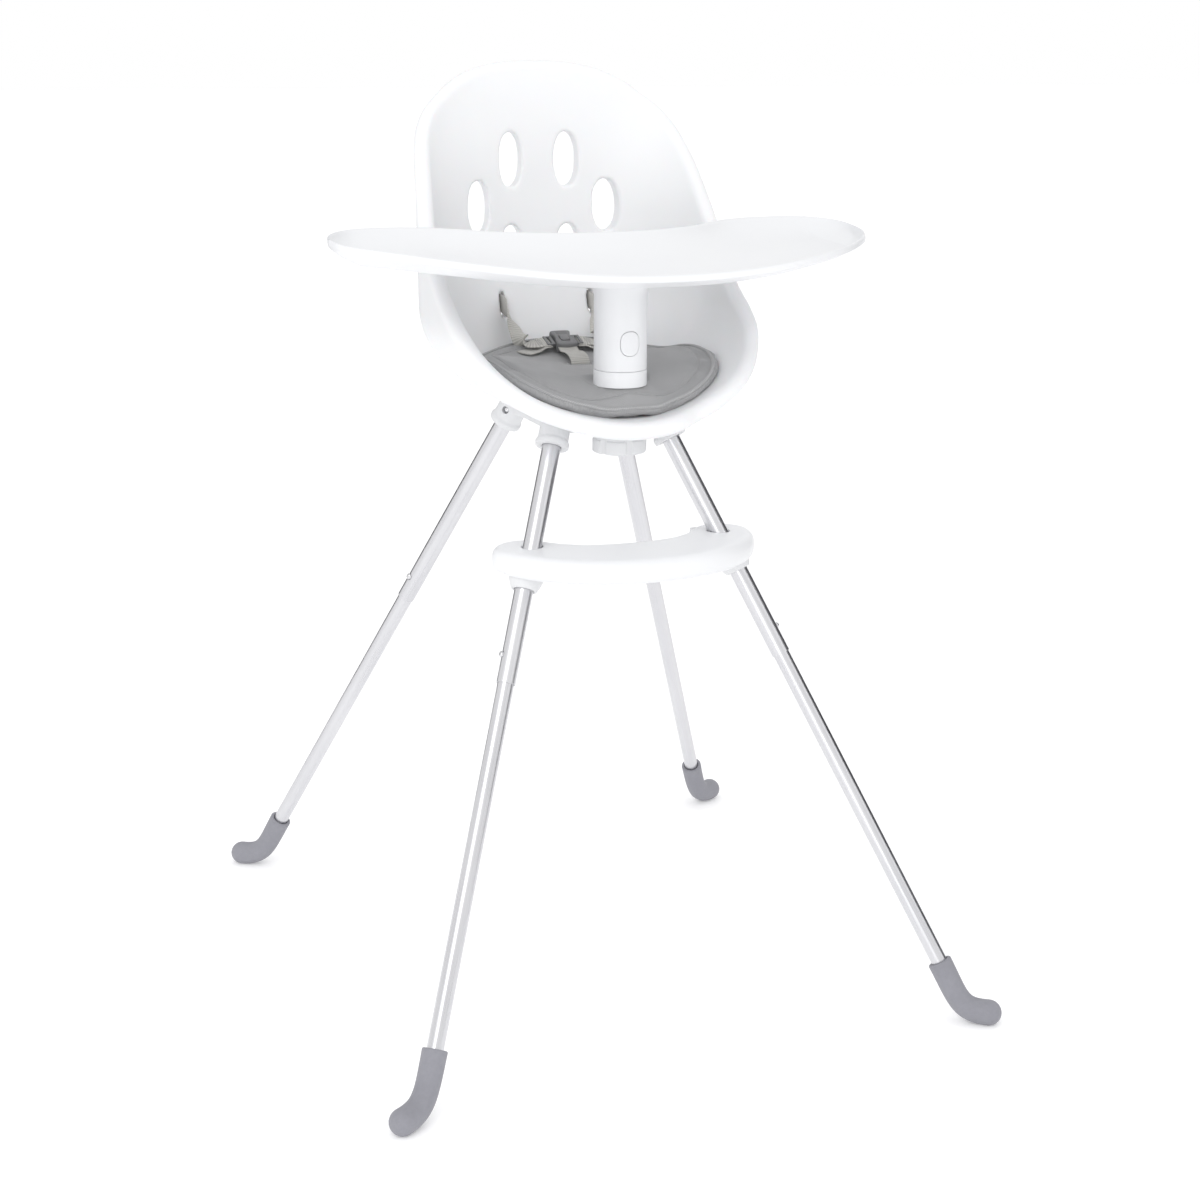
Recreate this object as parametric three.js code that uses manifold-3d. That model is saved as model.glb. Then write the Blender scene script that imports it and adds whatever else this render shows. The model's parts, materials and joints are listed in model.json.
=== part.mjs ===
// Baby high chair: a moulded foam bucket seat with a seat pad and a harness,
// four telescoped aluminium legs with rubber feet, a curved footrest and a
// lift-off tray on a single round stem.  Millimetres, +Z up, the front faces -Y,
// the origin is on the floor at the centre of the four feet.
import * as THREE from 'three';
import { mergeVertices } from 'three/addons/utils/BufferGeometryUtils.js';
import Module from 'manifold-3d';

const wasm = await Module();
wasm.setup();

// ------------------------------------------------------------ driving sizes
const GAP = 0.3;                       // clearance between touching pieces

const LEG_TOP = [65.4, 72.6, 575];     // tube axis where a leg leaves its socket
const LEG_FOOT = [269.7, 313.4, 62];   // tube axis where a leg enters its foot
const JOINT_FRAC = 0.4117;             // place of the tube joint along that line
const UPPER_OD = 18.8, UPPER_ID = 17.2;
const LOWER_OD = 16.6, LOWER_ID = 14.2;
const LEG_IN_SOCKET = 30;              // upper tube above the socket mouth
const LAP = 48;                        // lower tube inside the upper tube
const IN_FOOT = 26;                    // lower tube inside the foot
const BUTTON_UP = 28;                  // joint button above the joint
const SOCKET_BUTTON_UP = 19;           // socket button above the socket mouth

const FOOT_R = 12.4, TOE_R = 13.2, TOE_REACH = 53, TOE_AZ = 38, TOE_END_AZ = 33;

const FOOTREST_TOP = 485, FOOTREST_BOTTOM = 460;

const SEAT_W = 149;                    // inner half width of the bucket
const SEAT_FLOOR = 610;                // lowest inner line of the bucket
const SEAT_WALL = 18;                  // wall thickness of the foam shell
const SIDE_Z = 705, SIDE_C = 95;       // bottom curve of the cross-section
const BACK_Z = 830, BACK_C = 220, BACK_B = 114, BACK_Y = 33;

const POST_Y = -93;                    // axis of the tray post
const POST_R = 22.5, POST_BORE = 18.6, POST_BOTTOM = 574, POST_TOP = 712;
const STEM_R = 26.6, STEM_BORE = 22.9, STEM_BOTTOM = 654.6, STEM_TOP = 744.4;
const STEM_ROOF = 728;
const BUTTON_Z = 682.5, BUTTON_W = 19.6, BUTTON_H = 24;
const COLLAR_BOTTOM = 640.2;          // the collar stands on the pad
const BUCKLE_TILT = 20;

// ------------------------------------------------------------ materials
const white = new THREE.MeshStandardMaterial({ color: 0xf4f5f7, roughness: 0.45, metalness: 0 });
const foamWhite = new THREE.MeshStandardMaterial({ color: 0xf2f3f6, roughness: 0.6, metalness: 0 });
const softWhite = new THREE.MeshStandardMaterial({ color: 0xe9eaec, roughness: 0.5, metalness: 0 });
const alu = new THREE.MeshStandardMaterial({ color: 0xb9bac2, roughness: 0.32, metalness: 1 });
const rubber = new THREE.MeshStandardMaterial({ color: 0x8f8f9b, roughness: 0.8, metalness: 0 });
const fabric = new THREE.MeshStandardMaterial({ color: 0xacacac, roughness: 0.9, metalness: 0 });
const webbing = new THREE.MeshStandardMaterial({ color: 0xd6d4ce, roughness: 0.9, metalness: 0 });
const buckleGrey = new THREE.MeshStandardMaterial({ color: 0xa0a0a0, roughness: 0.5, metalness: 0 });
const steel = new THREE.MeshStandardMaterial({ color: 0xa8a8ac, roughness: 0.3, metalness: 1 });

// ------------------------------------------------------------ small helpers
const V = (x, y, z) => new THREE.Vector3(x, y, z);
const lerp = (a, b, t) => a + (b - a) * t;
const clamp = (x, a, b) => Math.min(b, Math.max(a, x));
const smooth = (a, b, x) => { const t = clamp((x - a) / (b - a), 0, 1); return t * t * (3 - 2 * t); };

function solid(geometry) {
  const g = geometry.clone();
  for (const n of ['normal', 'uv', 'uv1', 'color']) g.deleteAttribute(n);
  const m = mergeVertices(g, 1e-4);
  const index = m.index ? m.index.array : Uint32Array.from({ length: m.attributes.position.count }, (_, i) => i);
  const tri = [];
  for (let i = 0; i < index.length; i += 3) {
    const a = index[i], b = index[i + 1], c = index[i + 2];
    if (a !== b && b !== c && a !== c) tri.push(a, b, c);
  }
  const s = new wasm.Manifold(new wasm.Mesh({
    numProp: 3,
    vertProperties: Float32Array.from(m.attributes.position.array),
    triVerts: Uint32Array.from(tri),
  }));
  return s.volume() < 0 ? flipped(m, tri) : s;
}

function flipped(m, tri) {
  const t = [];
  for (let i = 0; i < tri.length; i += 3) t.push(tri[i], tri[i + 2], tri[i + 1]);
  return new wasm.Manifold(new wasm.Mesh({
    numProp: 3,
    vertProperties: Float32Array.from(m.attributes.position.array),
    triVerts: Uint32Array.from(t),
  }));
}

function geometryOf(manifold) {
  const mesh = manifold.getMesh();
  const g = new THREE.BufferGeometry();
  const p = mesh.vertProperties, n = mesh.numProp;
  const pos = new Float32Array((p.length / n) * 3);
  for (let i = 0; i < p.length / n; i++) for (let k = 0; k < 3; k++) pos[i * 3 + k] = p[i * n + k];
  g.setAttribute('position', new THREE.BufferAttribute(pos, 3));
  g.setIndex(new THREE.BufferAttribute(Uint32Array.from(mesh.triVerts), 1));
  g.computeVertexNormals();
  return g;
}

// A closed skin through rings of equal length, closed at each end by a point.
function loft(rings, first, last) {
  const n = rings[0].length, pos = [], idx = [];
  for (const r of rings) for (const p of r) pos.push(p.x, p.y, p.z);
  const a = rings.length * n, b = a + 1;
  pos.push(first.x, first.y, first.z, last.x, last.y, last.z);
  for (let i = 0; i < rings.length - 1; i++) {
    for (let j = 0; j < n; j++) {
      const k = (j + 1) % n, p = i * n + j, q = i * n + k, r = p + n, s = q + n;
      idx.push(p, q, s, p, s, r);
    }
  }
  for (let j = 0; j < n; j++) {
    const k = (j + 1) % n;
    idx.push(a, k, j);
    idx.push(b, (rings.length - 1) * n + j, (rings.length - 1) * n + k);
  }
  const g = new THREE.BufferGeometry();
  g.setAttribute('position', new THREE.BufferAttribute(new Float32Array(pos), 3));
  g.setIndex(idx);
  return g;
}

// Rings of circles along an axis: profile is a list of [distance, radius].
function turned(origin, axis, profile, seg = 16) {
  const w = axis.clone().normalize();
  const u = new THREE.Vector3().crossVectors(Math.abs(w.z) > 0.9 ? V(1, 0, 0) : V(0, 0, 1), w).normalize();
  const v = new THREE.Vector3().crossVectors(w, u);
  const rings = profile.map(([d, r]) => Array.from({ length: seg }, (_, i) => {
    const t = (i / seg) * Math.PI * 2;
    return origin.clone().addScaledVector(w, d).addScaledVector(u, r * Math.cos(t)).addScaledVector(v, r * Math.sin(t));
  }));
  const first = origin.clone().addScaledVector(w, profile[0][0]);
  const last = origin.clone().addScaledVector(w, profile[profile.length - 1][0]);
  return solid(loft(rings, first, last));
}

const rod = (origin, axis, from, to, r, seg = 16) => turned(origin, axis, [[from, r], [to, r]], seg);

function tube(origin, axis, from, to, ro, ri, seg = 16) {
  return rod(origin, axis, from, to, ro, seg).subtract(rod(origin, axis, from - 1, to + 1, ri, seg));
}

// A flat outline in x,y pulled up between two heights.
function prism(points, z0, z1) {
  const shape = new THREE.Shape(points.map(([x, y]) => new THREE.Vector2(x, y)));
  const g = new THREE.ExtrudeGeometry(shape, { depth: z1 - z0, bevelEnabled: false });
  g.translate(0, 0, z0);
  return solid(g);
}

function roundRect(hx, y0, y1, r, n = 5) {
  const pts = [];
  for (const [cx, cy, a0] of [[hx - r, y1 - r, 0], [-hx + r, y1 - r, 90], [-hx + r, y0 + r, 180], [hx - r, y0 + r, 270]]) {
    for (let i = 0; i <= n; i++) {
      const a = (a0 + (90 * i) / n) * Math.PI / 180;
      pts.push([cx + r * Math.cos(a), cy + r * Math.sin(a)]);
    }
  }
  return pts;
}

function ellipsePoints(a, b, n = 24, k = 2) {
  return Array.from({ length: n }, (_, i) => {
    const t = (i / n) * Math.PI * 2, c = Math.cos(t), s = Math.sin(t);
    return [a * Math.sign(c) * Math.abs(c) ** (2 / k), b * Math.sign(s) * Math.abs(s) ** (2 / k)];
  });
}

// An upright outline in x,z pushed along y.
function yPrism(points, y0, y1) {
  const s = prism(points, 0, y1 - y0);
  return s.rotate([90, 0, 0]).translate([0, y1, 0]);
}

function catmull(points, closed = false) {
  return new THREE.CatmullRomCurve3(points.map((p) => V(...p)), closed, 'centripetal');
}

const pieces = [];
function add(name, shape, material) {
  const g = shape instanceof THREE.BufferGeometry ? shape : geometryOf(shape);
  const mesh = new THREE.Mesh(g, material);
  mesh.name = name;
  pieces.push(mesh);
  return mesh;
}

// ------------------------------------------------------------ bucket surface
const halfWidth = (z) => (z >= SIDE_Z ? SEAT_W : SEAT_W * Math.sqrt(Math.max(0, 1 - ((SIDE_Z - z) / SIDE_C) ** 2)));
const backCurve = (z) => (z >= BACK_Z ? 1 : Math.sqrt(Math.max(0, 1 - ((BACK_Z - z) / BACK_C) ** 2)));
const backDepth = (z) => BACK_B * backCurve(z) - 50 * smooth(800, 915, z);
const backY = (z) => BACK_Y + BACK_B * backCurve(z) + (z > BACK_Z ? 10 * ((z - BACK_Z) / 115) ** 2 : 0);

function insideBucket(x, y, z) {
  if (z <= SEAT_FLOOR) return false;
  const w = halfWidth(z), b = backDepth(z), yc = backY(z) - b;
  if (w < 1e-6 || b < 1e-6) return false;
  const X = x / w, Y = Math.max(y - yc, 0) / b;
  return X * X + Y * Y < 1;
}

const EYE = V(0, 30, 770);             // inner point that sees the whole wall
function wallHit(dir) {
  let a = 0, b = 420;
  for (let i = 0; i < 44; i++) {
    const m = (a + b) / 2;
    if (insideBucket(EYE.x + dir.x * m, EYE.y + dir.y * m, EYE.z + dir.z * m)) a = m; else b = m;
  }
  return EYE.clone().addScaledVector(dir, (a + b) / 2);
}

// Side profile of the inner rim edge, front lip to headrest: [y, z].
const RIM_PROFILE = [
  [-149, 610.1], [-141, 614], [-129, 619], [-123, 627], [-117, 637], [-108.5, 649], [-96.5, 661], [-81, 674],
  [-64, 688], [-44, 699], [-21, 712], [-1, 727], [15, 743], [29, 761], [42, 779], [53, 797], [64, 816], [76, 835],
  [89, 853], [103, 872], [118, 891], [131, 907], [140, 921], [147, 931], [152.5, 937.5], [155.4, 940.2], [156.5, 941]];
function rimX(y, z) {
  const b = backDepth(z), yc = backY(z) - b, Y = Math.max(y - yc, 0) / b;
  return halfWidth(z) * Math.sqrt(Math.max(0, 1 - Y * Y));
}
const rimHalf = RIM_PROFILE.map(([y, z], i) => [i === 0 || i === RIM_PROFILE.length - 1 ? 0 : rimX(y, z), y, z]);
const rimLoop = catmull([...rimHalf, ...rimHalf.slice(1, -1).reverse().map(([x, y, z]) => [-x, y, z])], true);
const RIM_SAMPLES = 720;
rimLoop.arcLengthDivisions = 2400;
const rimPoints = rimLoop.getSpacedPoints(RIM_SAMPLES).slice(0, RIM_SAMPLES);
// the loop is made exactly symmetrical about x = 0
for (let i = 0; i <= RIM_SAMPLES / 2; i++) {
  const j = (RIM_SAMPLES - i) % RIM_SAMPLES, p = rimPoints[i], q = rimPoints[j];
  const x = (p.x - q.x) / 2, y = (p.y + q.y) / 2, z = (p.z + q.z) / 2;
  p.set(i === 0 || i === RIM_SAMPLES / 2 ? 0 : x, y, z);
  if (j !== i) q.set(-p.x, y, z);
}

const POLE = V(0, 95, -80).normalize();
function wallPoint(t, v) {
  const f = ((t % 1) + 1) % 1 * RIM_SAMPLES, i = Math.floor(f), k = f - i;
  const p = rimPoints[i % RIM_SAMPLES].clone().lerp(rimPoints[(i + 1) % RIM_SAMPLES], k).sub(EYE).normalize();
  const angle = Math.acos(clamp(p.dot(POLE), -1, 1)), s = Math.sin(angle);
  const d = p.multiplyScalar(Math.sin((1 - v) * angle) / s).addScaledVector(POLE, Math.sin(v * angle) / s).normalize();
  return wallHit(d);
}
function wallNormal(t, v) {
  const e = 0.004;
  const a = wallPoint(t + e, v).sub(wallPoint(t - e, v));
  const b = wallPoint(t, v + e).sub(wallPoint(t, v - e));
  const n = a.cross(b).normalize();
  return n.dot(wallPoint(t, v).sub(EYE)) < 0 ? n.negate() : n;
}
const POLE_POINT = wallHit(POLE);
const POLE_NORMAL = (() => {
  const e = 0.02, u = V(1, 0, 0), w = new THREE.Vector3().crossVectors(POLE, u);
  const f = (x, y) => wallHit(POLE.clone().addScaledVector(u, x).addScaledVector(w, y).normalize());
  const n = f(e, 0).sub(f(-e, 0)).cross(f(0, e).sub(f(0, -e))).normalize();
  return n.dot(POLE) < 0 ? n.negate() : n;
})();

const NT = 40, ROWS = [0, 0.08, 0.2, 0.34, 0.5, 0.67, 0.84];
const wallGrid = ROWS.map((v) => Array.from({ length: NT }, (_, i) => {
  const t = i / NT;
  return { p: wallPoint(t, v), n: wallNormal(t, v) };
}));
const rimDown = Array.from({ length: NT }, (_, i) => wallPoint(i / NT, 0.01).sub(wallPoint(i / NT, 0)).normalize());
const offsetRow = (row, d) => row.map(({ p, n }) => p.clone().addScaledVector(n, d));

function bucketShell() {
  const rings = [];
  for (let k = ROWS.length - 1; k >= 0; k--) rings.push(offsetRow(wallGrid[k], SEAT_WALL));
  const r = SEAT_WALL / 2;
  for (const a of [45, 90, 135]) {
    const c = Math.cos(a * Math.PI / 180), s = Math.sin(a * Math.PI / 180);
    rings.push(wallGrid[0].map(({ p, n }, i) => p.clone().addScaledVector(n, r + r * c).addScaledVector(rimDown[i], -r * s)));
  }
  for (let k = 0; k < ROWS.length; k++) rings.push(offsetRow(wallGrid[k], 0));
  return solid(loft(rings, POLE_POINT.clone().addScaledVector(POLE_NORMAL, SEAT_WALL), POLE_POINT.clone()));
}

// The room inside the bucket, grown by d and closed over the rim.
function bucketRoom(d) {
  const rings = [];
  for (let k = ROWS.length - 1; k >= 0; k--) rings.push(offsetRow(wallGrid[k], d));
  return solid(loft(rings, POLE_POINT.clone().addScaledVector(POLE_NORMAL, d), V(0, 0, 790)));
}

// Height of the bucket floor under a point in plan.
function floorZ(x, y) {
  let a = SEAT_FLOOR, b = BACK_Z;
  for (let i = 0; i < 40; i++) { const m = (a + b) / 2; if (insideBucket(x, y, m)) b = m; else a = m; }
  return (a + b) / 2;
}

// ------------------------------------------------------------ legs
const QUADS = [['fl', -1, -1], ['fr', 1, -1], ['bl', -1, 1], ['br', 1, 1]];
const legTop = (sx, sy) => V(LEG_TOP[0] * sx, LEG_TOP[1] * sy, LEG_TOP[2]);
const legFoot = (sx, sy) => V(LEG_FOOT[0] * sx, LEG_FOOT[1] * sy, LEG_FOOT[2]);
const legAxis = (sx, sy) => legFoot(sx, sy).sub(legTop(sx, sy)).normalize();
const LEG_LEN = legTop(1, 1).distanceTo(legFoot(1, 1));
const JOINT_AT = LEG_LEN * JOINT_FRAC;
const sideways = (axis, want) => want.clone().addScaledVector(axis, -want.dot(axis)).normalize();

// spring clip button: a domed pin with an inner flange
function clipButton(origin, out, inner, outer, r) {
  return turned(origin, out, [[inner - 1.2, r + 0.8], [inner, r + 0.8], [inner, r], [outer - 1.6, r], [outer - 0.3, r * 0.6]], 10);
}
// folded leaf spring in the tube, opened away from its button
function clipSpring(origin, axis, out, reach) {
  const side = new THREE.Vector3().crossVectors(axis, out).normalize();
  const path = [[-11, -reach], [0, -reach + 0.4], [11, -3.6], [15, -2.1], [11, -0.7], [-6, 0]];
  const w = 2.4, t = 0.35, pts = path.map(([a, b]) => origin.clone().addScaledVector(axis, a).addScaledVector(out, b));
  const rings = pts.map((p, i) => {
    const q = pts[Math.min(i + 1, pts.length - 1)].clone().sub(pts[Math.max(i - 1, 0)]).normalize();
    const nrm = new THREE.Vector3().crossVectors(q, side).normalize();
    return [[w, t], [-w, t], [-w, -t], [w, -t]].map(([a, b]) => p.clone().addScaledVector(side, a).addScaledVector(nrm, b));
  });
  return solid(loft(rings, pts[0].clone(), pts[pts.length - 1].clone()));
}

function bootRings(sx, sy, grow = 0) {
  const top = legFoot(sx, sy), u = legAxis(sx, sy);
  const az = TOE_AZ * Math.PI / 180, ez = TOE_END_AZ * Math.PI / 180;
  const end = V(top.x + sx * TOE_REACH * Math.cos(az), top.y + sy * TOE_REACH * Math.sin(az), TOE_R - 1.3);
  const h = V(sx * Math.cos(ez), sy * Math.sin(ez), 0);
  const path = new THREE.CubicBezierCurve3(top.clone(), top.clone().addScaledVector(u, 44), end.clone().addScaledVector(h, -30), end);
  const seg = 16, rings = [];
  const ring = (p, t, r) => {
    const a = new THREE.Vector3().crossVectors(t, V(0, 0, 1)).normalize(), b = new THREE.Vector3().crossVectors(a, t).normalize();
    return Array.from({ length: seg }, (_, i) => {
      const f = (i / seg) * Math.PI * 2 - Math.PI / 2;
      return p.clone().addScaledVector(a, r * Math.cos(f)).addScaledVector(b, r * Math.sin(f));
    });
  };
  const tan0 = path.getTangent(0);
  rings.push(ring(top.clone(), tan0, FOOT_R - 1.5), ring(top.clone().addScaledVector(tan0, 1.2), tan0, FOOT_R - 0.2));
  for (const s of [0.15, 0.32, 0.5, 0.68, 0.85, 1]) {
    rings.push(ring(path.getPoint(s), path.getTangent(s), lerp(FOOT_R, TOE_R, smooth(0.3, 1, s)) - 0.5 * Math.sin(Math.PI * s)));
  }
  for (const a of [35, 65]) {
    const c = Math.cos(a * Math.PI / 180), s = Math.sin(a * Math.PI / 180);
    rings.push(ring(end.clone().addScaledVector(h, TOE_R * s), h, TOE_R * c));
  }
  // the toe is cut flat where it stands on the floor
  return solid(loft(rings, top.clone(), end.clone().addScaledVector(h, TOE_R))).trimByPlane([0, 0, 1], 0);
}

for (const [tag, sx, sy] of QUADS) {
  const top = legTop(sx, sy), foot = legFoot(sx, sy), u = legAxis(sx, sy);
  const joint = top.clone().addScaledVector(u, JOINT_AT);
  const outX = sideways(u, V(sx, 0, 0));
  const radial = V(u.x, u.y, 0).normalize();
  const tang = sideways(u, V(sx * Math.abs(radial.y), -sy * Math.abs(radial.x), 0));
  const bp = joint.clone().addScaledVector(u, -BUTTON_UP);
  const sp = top.clone().addScaledVector(u, -SOCKET_BUTTON_UP);
  const hole = (p, d, r) => rod(p, d, 0, 22, r, 10);

  // upper tube: open ends, one hole for each button
  const upper = tube(top, u, -LEG_IN_SOCKET, JOINT_AT, UPPER_OD / 2, UPPER_ID / 2)
    .subtract(hole(bp, outX, 3.9)).subtract(hole(sp, tang, 3.9));
  add(`upper_leg_${tag}`, upper, alu);
  const lower = tube(joint, u, -LAP, LEG_LEN - JOINT_AT + IN_FOOT, LOWER_OD / 2, LOWER_ID / 2)
    .subtract(hole(bp, outX, 3.9));
  add(`lower_leg_${tag}`, lower, alu);
  add(`leg_button_${tag}`, clipButton(bp, outX, 5.2, UPPER_OD / 2 + 2.6, 3.4), steel);
  add(`leg_spring_${tag}`, clipSpring(bp, u, outX, 5.6), steel);
  add(`socket_button_${tag}`, clipButton(sp, tang, 6.6, UPPER_OD / 2 + 4.2, 3.4), steel);

  const boot = bootRings(sx, sy).subtract(rod(foot, u, -3, IN_FOOT + GAP, LOWER_OD / 2 + GAP, 16));
  add(`foot_${tag}`, boot, rubber);
}

// ------------------------------------------------------------ seat base with four sockets
const HUB_BOTTOM = 584;
const room18 = bucketRoom(SEAT_WALL + GAP);
let hub = prism(roundRect(57, -57, 92, 14), HUB_BOTTOM, 626).subtract(room18);
let sockets = null;
for (const [, sx, sy] of QUADS) {
  const top = legTop(sx, sy), u = legAxis(sx, sy);
  const body = turned(top, u, [[-34, 15.5], [-7, 15.5], [-5, 17.4], [0, 17.2]], 16);
  sockets = sockets ? sockets.add(body) : body;
}
// webs that tie each socket to the plate
for (const [, sx, sy] of QUADS) {
  const web = [[20 * sx, 34 * sy], [46 * sx, 22 * sy], [68 * sx, 62 * sy], [56 * sx, 76 * sy]];
  if (sx * sy < 0) web.reverse();
  hub = hub.add(prism(web, HUB_BOTTOM + 1, 612).subtract(room18));
}
const socketEnvelope = (() => {
  let s = null;
  for (const [, sx, sy] of QUADS) {
    const body = rod(legTop(sx, sy), legAxis(sx, sy), -34 - GAP, 2, 15.9 + GAP, 16);
    s = s ? s.add(body) : body;
  }
  return s;
})();
hub = hub.add(sockets);
const postClear = rod(V(0, POST_Y, 0), V(0, 0, 1), 560, 640, 29.5, 20);
hub = hub.subtract(postClear);
for (const [, sx, sy] of QUADS) {
  const top = legTop(sx, sy), u = legAxis(sx, sy);
  hub = hub.subtract(rod(top, u, -LEG_IN_SOCKET - GAP, 3, UPPER_OD / 2 + GAP, 16));
  const sp = top.clone().addScaledVector(u, -SOCKET_BUTTON_UP);
  const radial = V(u.x, u.y, 0).normalize();
  const tang = sideways(u, V(sx * Math.abs(radial.y), -sy * Math.abs(radial.x), 0));
  hub = hub.subtract(rod(sp, tang, 0, 30, 4.0, 10));
}
// underside pockets between the ribs
const SCREWS = [[-36, -34], [36, -34], [-36, 66], [36, 66]];
for (const [x, y] of SCREWS) hub = hub.subtract(rod(V(x, y, 0), V(0, 0, 1), 570, 640, 2.9, 8));
add('seat_base', hub, softWhite);

// ------------------------------------------------------------ seat shell
const VENTS = [[31.8, 845, 13.8, 29.4], [72.8, 796.3, 14, 28.2], [32.3, 747.6, 13.8, 29]];
const SLOT_X = 50.7, SLOT_Z = 694;
const clampOutline = roundRect(46, -47, 78, 10, 4);
const clampClear = roundRect(46 + GAP, -47 - GAP, 78 + GAP, 10, 4);
let shell = bucketShell();
for (const [x, z, a, b] of VENTS) {
  for (const s of [-1, 1]) {
    shell = shell.subtract(yPrism(ellipsePoints(a, b, 18, 2.25).map(([p, q]) => [p + s * x, q + z]), 85, 200));
  }
}
for (const s of [-1, 1]) shell = shell.subtract(yPrism(ellipsePoints(3, 14, 8, 3.2).map(([p, q]) => [p + s * SLOT_X, q + SLOT_Z]), 100, 185));
shell = shell.subtract(rod(V(0, POST_Y, 0), V(0, 0, 1), 570, 640, POST_R + GAP, 24));
shell = shell.subtract(socketEnvelope);
shell = shell.subtract(bucketRoom(3.6).intersect(prism(clampClear, 560, 640)));
for (const [x, y] of SCREWS) shell = shell.subtract(rod(V(x, y, 0), V(0, 0, 1), 570, 640, 3.1, 8));
add('seat_shell', shell, foamWhite);

// clamp plate let into the floor of the bucket, under the pad
let plate = bucketRoom(3.3).subtract(bucketRoom(0.4)).intersect(prism(clampOutline, 560, 660));
for (const [x, y] of SCREWS) plate = plate.subtract(rod(V(x, y, 0), V(0, 0, 1), 570, 660, 2.9, 8));
add('seat_clamp_plate', plate, softWhite);
SCREWS.forEach(([x, y], i) => {
  const top = floorZ(x, y) + 0.2;
  const screw = turned(V(x, y, 0), V(0, 0, 1), [[HUB_BOTTOM - 3.6, 3.2], [HUB_BOTTOM - 2.6, 4.6], [HUB_BOTTOM - GAP, 4.6], [HUB_BOTTOM - GAP, 2.4], [top, 2.2]], 8);
  add(`seat_screw_${i + 1}`, screw, steel);
});

// ------------------------------------------------------------ seat pad
const PAD_HALF = [[0, -141], [28, -138], [55, -129], [80, -118], [101, -104], [116, -84], [124, -56], [126.5, -28], [125.5, 2],
  [118, 33], [101, 61], [72, 84], [37, 97], [0, 101]];
const padLoop = catmull([...PAD_HALF.map(([x, y]) => [x, y, 0]), ...PAD_HALF.slice(1, -1).reverse().map(([x, y]) => [-x, y, 0])], true);
const PAD_N = 28;
const padEdge = padLoop.getSpacedPoints(PAD_N).slice(0, PAD_N);
const PAD_MID = V(0, -20, 0);
function padPoint(edge, f) {
  const x = lerp(PAD_MID.x, edge.x, f), y = lerp(PAD_MID.y, edge.y, f);
  return [x, y, floorZ(x, y)];
}
function padTop(x, y, z, f) {
  const slope = Math.min(1.5, Math.hypot((floorZ(x + 1, y) - z), (floorZ(x, y + 1) - z)));
  const thick = lerp(30, 13.5, smooth(0.5, 1, f)) + (y < -60 ? -3 * smooth(-100, -141, y) : 0);
  return z + 0.8 + thick * Math.sqrt(1 + 0.6 * slope * slope);
}
function padSolid() {
  const rings = [], fr = [0.4, 0.7, 0.88, 0.97];
  const bottomLift = (f) => 0.9 + (f > 0.9 ? 1.4 * smooth(0.9, 1, f) : 0);
  for (const f of fr) rings.push(padEdge.map((e) => { const [x, y, z] = padPoint(e, f); return V(x, y, z + bottomLift(f)); }));
  rings.push(padEdge.map((e) => { const [x, y, z] = padPoint(e, 1); return V(x, y, lerp(z + 2.4, padTop(x, y, z, 1) - 1.5, 0.35)); }));
  rings.push(padEdge.map((e) => { const [x, y, z] = padPoint(e, 1); return V(x, y, lerp(z + 2.4, padTop(x, y, z, 1) - 1.5, 0.75)); }));
  for (const f of fr.slice().reverse()) rings.push(padEdge.map((e) => { const [x, y, z] = padPoint(e, f); return V(x, y, padTop(x, y, z, f)); }));
  const m = floorZ(PAD_MID.x, PAD_MID.y);
  return solid(loft(rings, V(PAD_MID.x, PAD_MID.y, m + 0.9), V(PAD_MID.x, PAD_MID.y, padTop(PAD_MID.x, PAD_MID.y, m, 0))));
}
const CROTCH = [0, 16];
let pad = padSolid().intersect(bucketRoom(-2.8));
pad = pad.subtract(rod(V(0, POST_Y, 0), V(0, 0, 1), 590, 680, POST_R + 1.2, 24));
pad = pad.subtract(rod(V(0, POST_Y, 0), V(0, 0, 1), COLLAR_BOTTOM - GAP, 700, STEM_R + 0.6, 24));
pad = pad.subtract(prism(roundRect(15, CROTCH[1] - 4, CROTCH[1] + 4, 3, 3), 590, 680));
add('seat_pad', pad, fabric);

// ------------------------------------------------------------ tray post, rings and stem
const postAxis = V(0, POST_Y, 0), UP = V(0, 0, 1);
let post = tube(postAxis, UP, POST_BOTTOM, POST_TOP, POST_R, POST_BORE, 24);
// guide slot, open at the top, for the key behind the tray button
post = post.subtract(yPrism([[-13.5, 656], [13.5, 656], [13.5, 720], [-13.5, 720]], POST_Y - 40, POST_Y));
add('tray_post', post, softWhite);
add('post_collar', tube(postAxis, UP, COLLAR_BOTTOM, STEM_BOTTOM - GAP, STEM_R, POST_R + GAP, 24), white);
// threaded ring under the seat with grip lugs
let nut = turned(postAxis, UP, [[570.5, 26], [571.5, 27.4], [584, 27.4], [585, 25.6], [591.4, 25.6]], 24);
for (let i = 0; i < 6; i++) {
  const a = (i * 60 + 30) * Math.PI / 180;
  nut = nut.subtract(rod(V(29.5 * Math.cos(a), POST_Y + 29.5 * Math.sin(a), 0), UP, 560, 583, 4.2, 8));
}
nut = nut.subtract(rod(postAxis, UP, 560, 600, POST_R + GAP, 24));
add('post_lock_ring', nut, softWhite);

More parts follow.
